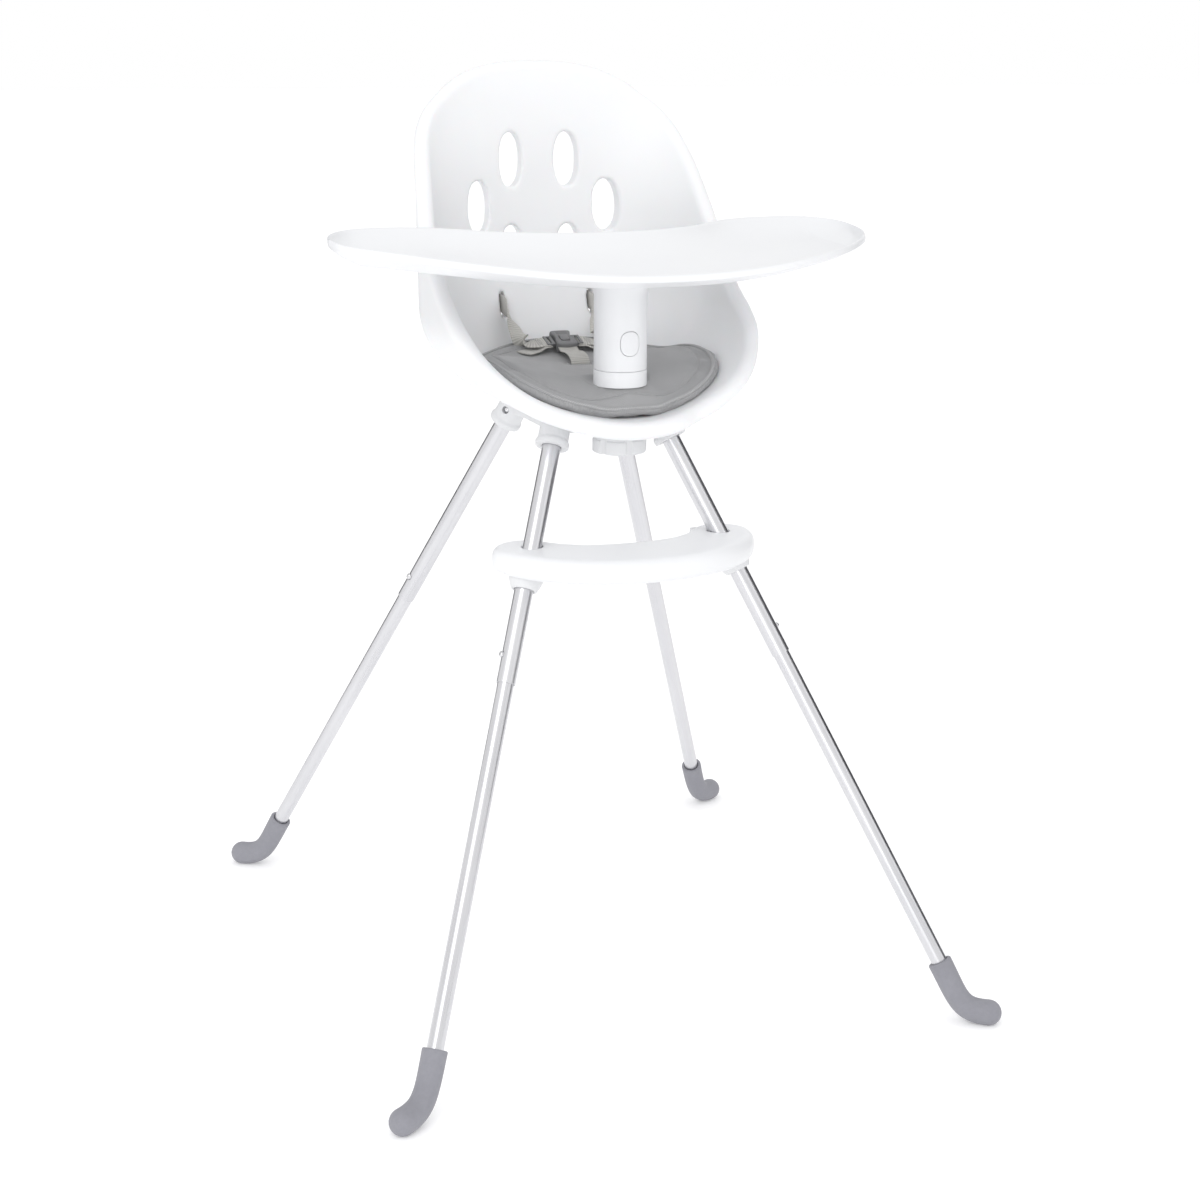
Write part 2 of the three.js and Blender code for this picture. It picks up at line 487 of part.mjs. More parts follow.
let stem = turned(postAxis, UP, [[STEM_BOTTOM, STEM_R - 0.4], [STEM_BOTTOM + 0.8, STEM_R], [729, STEM_R], [734, STEM_R + 0.8], [738.5, STEM_R + 2.6], [742, STEM_R + 5.4], [STEM_TOP, STEM_R + 6.4]], 24)
  .subtract(rod(postAxis, UP, STEM_BOTTOM - 2, STEM_ROOF, STEM_BORE, 24))
  .subtract(yPrism(ellipsePoints(BUTTON_W / 2 + GAP, BUTTON_H / 2 + GAP, 20).map(([x, z]) => [x, z + BUTTON_Z]), POST_Y - 40, POST_Y - 5));
const STEM_SCREWS = [90, 210, 330].map((a) => [15 * Math.cos(a * Math.PI / 180), POST_Y + 15 * Math.sin(a * Math.PI / 180)]);
for (const [x, y] of STEM_SCREWS) stem = stem.subtract(rod(V(x, y, 0), UP, 720, 760, 2.4, 8));
add('tray_stem', stem, white);

// release button: the outer face follows the round stem, the inner part is the key
let button = yPrism(ellipsePoints(BUTTON_W / 2, BUTTON_H / 2, 20).map(([x, z]) => [x, z + BUTTON_Z]), POST_Y - 40, POST_Y - 20.4)
  .intersect(rod(postAxis, UP, 640, 720, STEM_R + 0.35, 40));
button = button.add(yPrism(ellipsePoints(BUTTON_W / 2 + 1.6, BUTTON_H / 2 + 2.2, 20).map(([x, z]) => [x, z + BUTTON_Z]), POST_Y - 40, POST_Y - 18.9)
  .intersect(rod(postAxis, UP, 640, 720, STEM_BORE - 0.5, 32)));
add('tray_button', button, white);
// bowed leaf spring behind the button
{
  const w = 6, t = 0.4;
  const path = [[-20, -17.4], [-13, -15.6], [-6, -14.6], [0, -14.3], [6, -14.6], [13, -15.6], [20, -17.4]];
  const rings = path.map(([z, y]) => [[w, t], [-w, t], [-w, -t], [w, -t]].map(([a, b]) => V(a, POST_Y + y + b, BUTTON_Z + z)));
  add('tray_button_spring', solid(loft(rings, V(0, POST_Y - 17.4, BUTTON_Z - 20), V(0, POST_Y - 17.4, BUTTON_Z + 20))), steel);
}

// ------------------------------------------------------------ tray
const TRAY_FRONT = [[0, -232, 762], [55, -230, 763], [110, -223, 767], [159, -206, 772], [205, -180, 777], [245, -138, 781], [265, -104, 782], [277, -72, 783], [281, -40, 785]];
const TRAY_REAR = [[0, -50, 786], [42, -46.5, 786], [80, -36, 786.5], [112, -20, 787], [137, -1, 788], [160, 12, 788.8], [188, 17.5, 789.6], [218, 17, 790], [246, 10, 790], [266, -5, 789], [277, -21, 787.3], [281, -40, 785]];
const mirror = (pts) => [...pts.slice(1).reverse().map(([x, y, z]) => [-x, y, z]), ...pts];
const trayFront = catmull(mirror(TRAY_FRONT)), trayRear = catmull(mirror(TRAY_REAR));
const TRAY_DISH = 19, TRAY_SKIN = 3.6, TRAY_LIP = 6.5;
function traySection(s) {
  const k = (s + 1) / 2, F = trayFront.getPointAt(k), R = trayRear.getPointAt(k);
  const span = F.distanceTo(R), dir = R.clone().sub(F); dir.z = 0; dir.normalize();
  const deep = TRAY_DISH * Math.min(1, span / 120);
  const at = (d, drop) => { const q = d / span; return V(lerp(F.x, R.x, q), lerp(F.y, R.y, q), lerp(F.z, R.z, q) - drop); };
  const e = Math.min(1, span / 30);
  const dish = (q) => deep * (1 - (2 * q - 1) ** 4) ** 1.0;
  const ring = [];
  ring.push(at(0, 2.2 * e), at(1.6 * e, 0.3 * e), at(3.6 * e, 0));
  for (const q of [0.07, 0.16, 0.32, 0.5, 0.68, 0.84, 0.93]) ring.push(at(lerp(3.6 * e, span - 3.6 * e, q), dish(q) * 0.98));
  ring.push(at(span - 3.6 * e, 0), at(span - 1.6 * e, 0.3 * e), at(span, 2.2 * e), at(span, TRAY_LIP * e));
  for (const q of [0.93, 0.82, 0.66, 0.5, 0.34, 0.18, 0.07]) ring.push(at(lerp(1.2 * e, span - 1.2 * e, q), dish(q) + TRAY_SKIN + 2.6 * e * (1 - Math.min(1, dish(q) / 8))));
  ring.push(at(0, TRAY_LIP * e));
  return ring;
}
const sCols = [];
for (let i = 1; i < 26; i++) sCols.push(Math.sin((i / 26 - 0.5) * Math.PI));
const tipL = trayFront.getPointAt(0), tipR = trayFront.getPointAt(1);
let tray = solid(loft(sCols.map(traySection), tipL, tipR));
// the boss that takes the stem stays under the dish
const air = solid(loft(sCols.map((s) => {
  const top = traySection(s).slice(0, 13).map((p) => V(p.x, p.y, p.z - 1.2));
  return [...top, ...top.slice().reverse().map((p) => V(p.x, p.y, 860))];
}), V(tipL.x - 1, tipL.y, 820), V(tipR.x + 1, tipR.y, 820)));
const boss = turned(postAxis, UP, [[STEM_TOP + GAP, STEM_R + 6.4], [STEM_TOP + 5, STEM_R + 7.4], [800, STEM_R + 8]], 24).subtract(air);
tray = tray.add(boss);
for (const [x, y] of STEM_SCREWS) tray = tray.subtract(rod(V(x, y, 0), UP, 740, 751, 2.1, 8));
add('tray', tray, white);
STEM_SCREWS.forEach(([x, y], i) => add(`tray_screw_${i + 1}`,
  turned(V(x, y, 0), UP, [[STEM_ROOF - 3, 2.6], [STEM_ROOF - 2.2, 3.9], [STEM_ROOF - GAP, 3.9], [STEM_ROOF - GAP, 1.8], [750, 1.6]], 8), steel));

// ------------------------------------------------------------ footrest
const FR_HALF = [[0, -206.5], [30, -204.5], [58, -198], [84, -186], [108, -168], [127, -146], [138, -122], [139, -101], [128, -85],
  [110, -78], [92, -81], [80, -92], [66, -108], [46, -119], [22, -124], [0, -125]];
const frLoop = catmull([...FR_HALF.map(([x, y]) => [x, y, 0]), ...FR_HALF.slice(1, -1).reverse().map(([x, y]) => [-x, y, 0])], true);
const frPts = frLoop.getSpacedPoints(52).slice(0, 52);
function insetLoop(pts, d) {
  return pts.map((p, i) => {
    const a = pts[(i + pts.length - 1) % pts.length], b = pts[(i + 1) % pts.length];
    const t = b.clone().sub(a).normalize();
    return V(p.x - t.y * d, p.y + t.x * d, 0);
  });
}
const frLevels = [[FOOTREST_BOTTOM, 5.5], [FOOTREST_BOTTOM + 2.4, 1.8], [FOOTREST_BOTTOM + 8, 0], [FOOTREST_TOP - 8, 0.4], [FOOTREST_TOP - 2.4, 2.6], [FOOTREST_TOP, 7]];
const frRings = frLevels.map(([z, d]) => insetLoop(frPts, d).map((p) => V(p.x, p.y, z)));
let footrest = solid(loft(frRings, V(0, -165, FOOTREST_BOTTOM), V(0, -165, FOOTREST_TOP)));
for (const sx of [-1, 1]) {
  const top = legTop(sx, -1), u = legAxis(sx, -1);
  footrest = footrest.subtract(rod(top, u, 60, 190, UPPER_OD / 2 + GAP, 16));
  // clip window in the inner rear face of the lobe
  footrest = footrest.subtract(prism([[sx * 88 - 4, -90], [sx * 88 + 4, -90], [sx * 88 + 4, -74], [sx * 88 - 4, -74]], 470, 482));
}
add('footrest', footrest, white);
for (const [tag, sx] of [['left', -1], ['right', 1]]) {
  const top = legTop(sx, -1), u = legAxis(sx, -1);
  const at = (z) => (LEG_TOP[2] - z) / -u.z;
  // tapered collar that grips the tube under the footrest
  const lip = at(FOOTREST_BOTTOM) - 14, low = at(FOOTREST_BOTTOM) + 17;
  const collar = turned(top, u, [[lip, 18.2], [low - 12, 17.2], [low - 3, 14.2], [low, 12.6]], 16)
    .subtract(rod(top, u, lip - 5, low + 5, UPPER_OD / 2 + GAP, 16))
    .intersect(prism([[sx * 60 - 60, -220], [sx * 60 + 140, -220], [sx * 60 + 140, 0], [sx * 60 - 60, 0]].map(([x, y]) => [x, y]), 420, FOOTREST_BOTTOM - GAP));
  add(`footrest_collar_${tag}`, collar, softWhite);
  add(`footrest_clip_${tag}`, prism([[sx * 88 - 3.6, -89.6], [sx * 88 + 3.6, -89.6], [sx * 88 + 3.6, -81.5], [sx * 88 - 3.6, -81.5]], 470.4, 481.6).subtract(rod(top, u, 60, 190, UPPER_OD / 2 + GAP, 16)), softWhite);
}

// ------------------------------------------------------------ harness
function ribbon(path, width, thick, seg) {
  // path: [x, y, z, wx, wy, wz] - a centre point and the direction of the width
  const c = catmull(path.map((p) => p.slice(0, 3))), w = catmull(path.map((p) => p.slice(3, 6)));
  const rings = [];
  let a0, b0;
  for (let i = 0; i <= seg; i++) {
    const p = c.getPoint(i / seg), t = c.getTangent(i / seg), d = w.getPoint(i / seg);
    d.addScaledVector(t, -d.dot(t)).normalize();
    const n = new THREE.Vector3().crossVectors(t, d).normalize();
    rings.push([[1, 1], [-1, 1], [-1, -1], [1, -1]].map(([x, y]) => p.clone().addScaledVector(d, x * width / 2).addScaledVector(n, y * thick / 2)));
    if (i === 0) a0 = p; b0 = p;
  }
  return solid(loft(rings, a0, b0));
}
const padZ = (x, y) => {
  const r = V(x - PAD_MID.x, y - PAD_MID.y, 0), L = r.length();
  let best = 1, most = -2;
  for (const e of padEdge) {
    const q = V(e.x - PAD_MID.x, e.y - PAD_MID.y, 0);
    const c = q.dot(r) / (q.length() * (L || 1));
    if (c > most) { most = c; best = Math.max(L / q.length(), 0.001); }
  }
  return padTop(x, y, floorZ(x, y), Math.min(1, best));
};
const P = (x, y, lift, w) => [x, y, padZ(x, y) + lift, ...w];
for (const [tag, s] of [['left', -1], ['right', 1]]) {
  const path = [
    [s * 50.7, 133, 695, 0, 0, 1], [s * 50.7, 121, 694.5, 0, 0, 1], [s * 50.3, 106, 692, 0, 0.1, 1], [s * 49, 94, 685, s * 0.4, -0.4, 0.7],
    [s * 46, 82, 674, s * 0.7, -0.5, 0.3], P(s * 40, 70, 9.5, [s * 0.6, 0.8, 0.1]), P(s * 31, 68, 9.5, [0.1 * s, 1, 0.25]), [s * 22.2, 69.5, padZ(s * 20, 70) + 9.8, 0, 0.94, 0.34]];
  add(`waist_strap_${tag}`, ribbon(path, 20, 1.6, 16), webbing);
  add(`strap_tongue_${tag}`, (() => {
    const z = padZ(0, 70) + 9.8;
    return prism([[-4, -9], [4, -9], [4, 9], [-4, 9]], -1.6, 1.6).rotate([BUCKLE_TILT, 0, 0]).translate([s * 15.2, 70, z]);
  })(), buckleGrey);
}
const buckleZ = padZ(0, 70) + 9.8;
const buckle = prism(roundRect(10.8, -15, 14, 4, 4), -5.5, 5.5).subtract(prism(roundRect(5.3, -9.3, 3.3, 3, 4), 2.6, 8)).rotate([BUCKLE_TILT, 0, 0]).translate([0, 70, buckleZ]);
add('buckle', buckle, buckleGrey);
add('buckle_button', prism(roundRect(5, -9, 3, 3, 4), 3.9, 6.4).rotate([BUCKLE_TILT, 0, 0]).translate([0, 70, buckleZ]), buckleGrey);
{
  const z0 = floorZ(0, 16) + 0.6;
  const path = [[0, 16, z0, 1, 0, 0], [0, 16, z0 + 12, 1, 0, 0], [0, 17, padZ(0, 16) + 3, 1, 0, 0], [0, 24, padZ(0, 24) + 6, 1, 0, 0], [0, 36, padZ(0, 36) + 6, 1, 0, 0], [0, 47, padZ(0, 47) + 5, 1, 0, 0], [0, 54.6, padZ(0, 55) + 5, 1, 0, 0]];
  add('crotch_strap', ribbon(path, 22, 1.8, 12), webbing);
}

const highChair = new THREE.Group();
for (const m of pieces) highChair.add(m);
export default highChair;
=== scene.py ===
import bpy
import bmesh
import json
import math
import numpy as np
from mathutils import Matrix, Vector
from mathutils.bvhtree import BVHTree


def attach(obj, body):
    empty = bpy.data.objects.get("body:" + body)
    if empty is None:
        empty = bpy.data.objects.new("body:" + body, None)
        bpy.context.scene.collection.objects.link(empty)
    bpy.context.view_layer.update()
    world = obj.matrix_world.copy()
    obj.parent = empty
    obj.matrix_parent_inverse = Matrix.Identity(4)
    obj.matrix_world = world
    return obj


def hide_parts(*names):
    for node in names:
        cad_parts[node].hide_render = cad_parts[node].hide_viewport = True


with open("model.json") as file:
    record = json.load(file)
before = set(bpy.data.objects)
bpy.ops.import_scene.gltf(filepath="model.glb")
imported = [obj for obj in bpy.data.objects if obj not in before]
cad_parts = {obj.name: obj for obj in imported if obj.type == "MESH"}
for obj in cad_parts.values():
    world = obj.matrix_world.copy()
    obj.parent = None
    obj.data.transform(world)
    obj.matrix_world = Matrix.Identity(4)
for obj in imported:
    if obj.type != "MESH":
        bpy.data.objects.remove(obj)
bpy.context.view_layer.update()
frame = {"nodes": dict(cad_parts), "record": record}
scene = bpy.context.scene
MM = 0.001

# ------------------------------------------------------------------ camera
AZ, EL, ROLL = math.radians(-21.615), math.radians(15.433), 0.0068
back = Vector((math.sin(AZ) * math.cos(EL), -math.cos(AZ) * math.cos(EL), math.sin(EL)))
right0 = Vector((math.cos(AZ), math.sin(AZ), 0.0))
up0 = right0.cross(-back)
right = right0 * math.cos(ROLL) + up0 * math.sin(ROLL)
up = up0 * math.cos(ROLL) - right0 * math.sin(ROLL)
cam_data = bpy.data.cameras.new("camera")
cam_data.sensor_width = 36.0
cam_data.lens = 62.6
cam = bpy.data.objects.new("camera", cam_data)
scene.collection.objects.link(cam)
from mathutils import Matrix
rot = Matrix((right, up, back)).transposed().to_4x4()
cam.matrix_world = Matrix.Translation((-0.77996, -2.01133, 0.98593)) @ rot
scene.camera = cam

# ------------------------------------------------------------------ sizes, in millimetres
LEG_TOP, LEG_FOOT, JOINT_FRAC = (65.4, 72.6, 575.0), (269.7, 313.4, 62.0), 0.4117
UPPER_R, UPPER_IR, LOWER_R, LOWER_IR = 9.4, 8.6, 8.3, 7.1
LEG_IN_SOCKET, LAP, IN_FOOT, BUTTON_UP, SOCKET_BUTTON_UP = 30.0, 48.0, 26.0, 28.0, 19.0
FOOT_R, TOE_R, TOE_REACH, TOE_AZ, TOE_END_AZ = 12.4, 13.2, 53.0, 38.0, 33.0
FR_TOP, FR_BOTTOM = 485.0, 460.0
SEAT_W, SEAT_FLOOR, WALL, SIDE_Z, SIDE_C = 149.0, 610.0, 18.0, 705.0, 95.0
BACK_Z, BACK_C, BACK_B, BACK_Y = 830.0, 220.0, 114.0, 33.0
POST_Y, POST_R, POST_BORE, POST_BOTTOM, POST_TOP = -93.0, 22.5, 18.6, 574.0, 712.0
STEM_R, STEM_BORE, STEM_BOTTOM, STEM_TOP, STEM_ROOF = 26.6, 22.9, 654.6, 744.4, 728.0
BUTTON_Z, BUTTON_W, BUTTON_H = 682.5, 19.6, 24.0
QUADS = [("fl", -1, -1), ("fr", 1, -1), ("bl", -1, 1), ("br", 1, 1)]


def smooth(a, b, x):
    t = np.clip((np.asarray(x, float) - a) / (b - a), 0, 1)
    return t * t * (3 - 2 * t)


def unit(v):
    v = np.asarray(v, float)
    n = np.linalg.norm(v, axis=-1, keepdims=True)
    return v / np.where(n < 1e-12, 1, n)


# ------------------------------------------------------------------ mesh helpers
def link(name, me):
    o = bpy.data.objects.new(name, me)
    scene.collection.objects.link(o)
    return o


def smooth_by_angle(me, deg=38.0):
    bm = bmesh.new()
    bm.from_mesh(me)
    lim = math.radians(deg)
    for f in bm.faces:
        f.smooth = True
    for e in bm.edges:
        e.smooth = len(e.link_faces) != 2 or e.calc_face_angle(0.0) < lim
    bm.to_mesh(me)
    bm.free()


def from_data(name, verts, faces, flow=None, deg=38.0):
    """Mesh from millimetre vertices, faces turned outward."""
    me = bpy.data.meshes.new(name)
    me.from_pydata([tuple(v) for v in np.asarray(verts, float) * MM], [], faces)
    me.validate()
    bm = bmesh.new()
    bm.from_mesh(me)
    bmesh.ops.remove_doubles(bm, verts=bm.verts, dist=1e-6)
    bmesh.ops.recalc_face_normals(bm, faces=bm.faces)
    bm.to_mesh(me)
    vol = bm.calc_volume(signed=True)
    if vol < 0:
        bmesh.ops.reverse_faces(bm, faces=bm.faces)
        bm.to_mesh(me)
    bm.free()
    o = link(name, me)
    if flow is not None and len(flow) == len(me.vertices):
        a = me.attributes.new("flow", "FLOAT_VECTOR", "POINT")
        a.data.foreach_set("vector", np.asarray(flow, float).ravel())
    smooth_by_angle(me, deg)
    return o


def loft_data(rings, first=None, last=None, wrap=False, base=0):
    """rings: (R, N, 3). Ends close on a point, or the rings wrap into a torus."""
    rings = np.asarray(rings, float)
    R, N = rings.shape[:2]
    verts = list(rings.reshape(-1, 3))
    faces = []
    for r in range(R if wrap else R - 1):
        s = (r + 1) % R
        for i in range(N):
            j = (i + 1) % N
            faces.append((base + r * N + i, base + r * N + j, base + s * N + j, base + s * N + i))
    if first is not None:
        verts.append(np.asarray(first, float))
        k = base + len(verts) - 1
        faces += [(k, base + (i + 1) % N, base + i) for i in range(N)]
    if last is not None:
        verts.append(np.asarray(last, float))
        k = base + len(verts) - 1
        faces += [(k, base + (R - 1) * N + i, base + (R - 1) * N + (i + 1) % N) for i in range(N)]
    return verts, faces


def loft(name, rings, first=None, last=None, wrap=False, deg=38.0):
    v, f = loft_data(rings, first, last, wrap)
    return from_data(name, v, f, deg=deg)


def frame_of(axis):
    a = unit(axis)
    h = np.array([0, 0, 1.0]) if abs(a[2]) < 0.9 else np.array([1.0, 0, 0])
    u = unit(np.cross(a, h))
    return a, u, np.cross(a, u)


def lathe_data(origin, axis, profile, seg=64, wrap=False, base=0):
    a, u, v = frame_of(axis)
    t = np.arange(seg) * 2 * math.pi / seg
    rings = [np.asarray(origin) + a * d + r * (np.outer(np.cos(t), u) + np.outer(np.sin(t), v)) for d, r in profile]
    if wrap:
        return loft_data(rings, wrap=True, base=base)
    o = np.asarray(origin)
    return loft_data(rings, o + a * profile[0][0], o + a * profile[-1][0], base=base)


def lathe(name, origin, axis, profile, seg=64, wrap=False, deg=38.0):
    v, f = lathe_data(origin, axis, profile, seg, wrap)
    o = from_data(name, v, f, deg=deg)
    return o


def rounded(points, r=0.6, n=3):
    """Profile corners rounded: points are (distance, radius)."""
    out = [points[0]]
    for i in range(1, len(points) - 1):
        p, a, b = np.array(points[i], float), np.array(points[i - 1], float), np.array(points[i + 1], float)
        la, lb = np.linalg.norm(a - p), np.linalg.norm(b - p)
        k = min(r, la * 0.45, lb * 0.45)
        s, e = p + (a - p) / max(la, 1e-9) * k, p + (b - p) / max(lb, 1e-9) * k
        for j in range(n + 1):
            t = j / n
            out.append(tuple((1 - t) ** 2 * s + 2 * t * (1 - t) * p + t * t * e))
    out.append(points[-1])
    return out


def catmull(points, closed=False, per=24):
    """Centripetal Catmull-Rom through the points, as a dense polyline."""
    P = np.asarray(points, float)
    n = len(P)
    out = []
    for i in range(n if closed else n - 1):
        if closed:
            p0, p1, p2, p3 = P[(i - 1) % n], P[i], P[(i + 1) % n], P[(i + 2) % n]
        else:
            p1, p2 = P[i], P[i + 1]
            p0 = P[i - 1] if i > 0 else 2 * p1 - p2
            p3 = P[i + 2] if i + 2 < n else 2 * p2 - p1
        d0, d1, d2 = (max(np.linalg.norm(b - a), 1e-6) ** 0.5 for a, b in ((p0, p1), (p1, p2), (p2, p3)))
        m1 = ((p1 - p0) / d0 - (p2 - p0) / (d0 + d1) + (p2 - p1) / d1) * d1
        m2 = ((p2 - p1) / d1 - (p3 - p1) / (d1 + d2) + (p3 - p2) / d2) * d1
        for k in range(per):
            t = k / per
            out.append(p1 + m1 * t + (-3 * p1 + 3 * p2 - 2 * m1 - m2) * t * t + (2 * p1 - 2 * p2 + m1 + m2) * t ** 3)
    if not closed:
        out.append(P[-1])
    return np.array(out)


def spaced(poly, n, closed=False):
    """n points at equal distances along a polyline."""
    q = np.vstack([poly, poly[:1]]) if closed else poly
    s = np.concatenate([[0], np.cumsum(np.linalg.norm(np.diff(q, axis=0), axis=1))])
    t = np.linspace(0, s[-1], n + 1)[:-1] if closed else np.linspace(0, s[-1], n)
    return np.stack([np.interp(t, s, q[:, k]) for k in range(q.shape[1])], axis=1)


def at_fraction(poly, k):
    s = np.concatenate([[0], np.cumsum(np.linalg.norm(np.diff(poly, axis=0), axis=1))])
    return np.array([np.interp(k * s[-1], s, poly[:, c]) for c in range(3)])


def prism_data(points, z0, z1, r=0.0, n=4, base=0):
    """Upright outline with rounded top and bottom edges."""
    P = np.asarray(points, float)
    P = np.column_stack([P[:, 0], P[:, 1]])
    area = 0.5 * np.sum(P[:, 0] * np.roll(P[:, 1], -1) - np.roll(P[:, 0], -1) * P[:, 1])
    if area < 0:
        P = P[::-1]
    t = unit(np.roll(P, -1, axis=0) - np.roll(P, 1, axis=0))
    inward = np.column_stack([-t[:, 1], t[:, 0]])
    rings = []
    for a in ([0.0] if r == 0 else np.linspace(0, math.pi / 2, n + 1)):
        d = r * (1 - math.sin(a)) if r else 0
        rings.append(np.column_stack([P + inward * d, np.full(len(P), z0 + (r * (1 - math.cos(a)) if r else 0))]))
    for a in ([0.0] if r == 0 else np.linspace(math.pi / 2, 0, n + 1)):
        d = r * (1 - math.sin(a)) if r else 0
        rings.append(np.column_stack([P + inward * d, np.full(len(P), z1 - (r * (1 - math.cos(a)) if r else 0))]))
    m = P.mean(axis=0)
    return loft_data(rings, (m[0], m[1], z0), (m[0], m[1], z1), base=base)


def round_rect(hx, y0, y1, r, n=10):
    pts = []
    for cx, cy, a0 in ((hx - r, y1 - r, 0), (-hx + r, y1 - r, 90), (-hx + r, y0 + r, 180), (hx - r, y0 + r, 270)):
        for i in range(n + 1):
            a = math.radians(a0 + 90 * i / n)
            pts.append((cx + r * math.cos(a), cy + r * math.sin(a)))
    return pts


def oval(a, b, n=64, k=2.0):
    t = np.arange(n) * 2 * math.pi / n
    c, s = np.cos(t), np.sin(t)
    return np.column_stack([a * np.sign(c) * np.abs(c) ** (2 / k), b * np.sign(s) * np.abs(s) ** (2 / k)])


def y_prism(name, pts, y0, y1):
    """Outline in x, z pushed along y."""
    P = np.asarray(pts, float)
    rings = [np.column_stack([P[:, 0], np.full(len(P), y), P[:, 1]]) for y in (y0, y1)]
    m = P.mean(axis=0)
    return loft(name, rings, (m[0], y0, m[1]), (m[0], y1, m[1]))


def apply_all(o):
    dg = bpy.context.evaluated_depsgraph_get()
    dg.update()
    me = bpy.data.meshes.new_from_object(o.evaluated_get(dg))
    o.modifiers.clear()
    o.data = me
    return o


def cut(o, cutters, op="DIFFERENCE"):
    for c in cutters if isinstance(cutters, (list, tuple)) else [cutters]:
        m = o.modifiers.new("cut", "BOOLEAN")
        m.operation, m.object, m.solver = op, c, "EXACT"
    apply_all(o)
    for c in cutters if isinstance(cutters, (list, tuple)) else [cutters]:
        bpy.data.objects.remove(c)
    return o


def remesh(o, size, passes, factor=0.5):
    m = o.modifiers.new("remesh", "REMESH")
    m.mode, m.voxel_size, m.adaptivity = "VOXEL", size, 0.0
    if passes:
        s = o.modifiers.new("soften", "SMOOTH")
        s.factor, s.iterations = factor, passes
    apply_all(o)
    o.data.polygons.foreach_set("use_smooth", [True] * len(o.data.polygons))
    return o


def joined(name, parts):
    """One mesh from several (vertices, faces) sets."""
    verts, faces = [], []
    for v, f in parts:
        k = len(verts)
        verts += [tuple(p) for p in v]
        faces += [tuple(i + k for i in q) for q in f]
    return from_data(name, verts, faces)


def set_flow(o, fn):
    me = o.data
    co = np.empty(len(me.vertices) * 3)
    me.vertices.foreach_get("co", co)
    f = fn(co.reshape(-1, 3) / MM)
    a = me.attributes.get("flow") or me.attributes.new("flow", "FLOAT_VECTOR", "POINT")
    a.data.foreach_set("vector", np.asarray(f, float).ravel())


def verts_of(o):
    co = np.empty(len(o.data.vertices) * 3)
    o.data.vertices.foreach_get("co", co)
    return co.reshape(-1, 3)


# ------------------------------------------------------------------ materials
class Nodes:
    def __init__(self, name):
        self.mat = bpy.data.materials.new(name)
        self.mat.use_nodes = True
        self.t = self.mat.node_tree
        self.bsdf = next(n for n in self.t.nodes if n.type == "BSDF_PRINCIPLED")
        self.x = -300

    def new(self, kind, **props):
        n = self.t.nodes.new(kind)
        self.x -= 40
        n.location = (self.x, -self.x % 600)
        for k, v in props.items():
            setattr(n, k, v)
        return n

    def link(self, a, b):
        self.t.links.new(a, b)

    def coords(self, source="object", scale=(1, 1, 1), rotation=(0, 0, 0)):
        m = self.new("ShaderNodeMapping")
        m.inputs["Scale"].default_value = scale
        m.inputs["Rotation"].default_value = rotation
        if source == "object":
            c = self.new("ShaderNodeTexCoord")
            self.link(c.outputs["Object"], m.inputs["Vector"])
        else:
            c = self.new("ShaderNodeAttribute", attribute_name=source)
            self.link(c.outputs["Vector"], m.inputs["Vector"])
        return m.outputs["Vector"]

    def noise(self, vec, scale, detail=3.0, rough=0.5):
        n = self.new("ShaderNodeTexNoise")
        n.inputs["Scale"].default_value = scale
        n.inputs["Detail"].default_value = detail
        n.inputs["Roughness"].default_value = rough
        self.link(vec, n.inputs["Vector"])
        return n.outputs["Fac"]

    def wave(self, vec, scale, direction="X", distortion=0.0):
        n = self.new("ShaderNodeTexWave", wave_type="BANDS", bands_direction=direction)
        n.inputs["Scale"].default_value = scale
        n.inputs["Distortion"].default_value = distortion
        self.link(vec, n.inputs["Vector"])
        return n.outputs["Fac"]

    def math(self, op, a, b):
        n = self.new("ShaderNodeMath", operation=op)
        for i, v in enumerate((a, b)):
            if isinstance(v, (int, float)):
                n.inputs[i].default_value = v
            else:
                self.link(v, n.inputs[i])
        return n.outputs[0]

    def spread(self, fac, lo, hi, a=0.3, b=0.7):
        n = self.new("ShaderNodeMapRange")
        n.inputs["From Min"].default_value, n.inputs["From Max"].default_value = a, b
        n.inputs["To Min"].default_value, n.inputs["To Max"].default_value = lo, hi
        self.link(fac, n.inputs["Value"])
        return n.outputs["Result"]

    def colour(self, fac, stops):
        n = self.new("ShaderNodeValToRGB")
        e = n.color_ramp.elements
        while len(e) < len(stops):
            e.new(0.5)
        for el, (p, c) in zip(e, stops):
            el.position, el.color = p, (*c, 1)
        self.link(fac, n.inputs["Fac"])
        self.link(n.outputs["Color"], self.bsdf.inputs["Base Color"])

    def bump(self, *layers):
        """layers: (height, strength, distance in metres)"""
        last = None
        for h, s, d in layers:
            n = self.new("ShaderNodeBump")
            n.inputs["Strength"].default_value, n.inputs["Distance"].default_value = s, d
            self.link(h, n.inputs["Height"])
            if last is not None:
                self.link(last, n.inputs["Normal"])
            last = n.outputs["Normal"]
        self.link(last, self.bsdf.inputs["Normal"])

    def set(self, **kw):
        for k, v in kw.items():
            self.bsdf.inputs[k.replace("_", " ")].default_value = v


def tone(c, k):
    return tuple(min(1.0, x * k) for x in c)


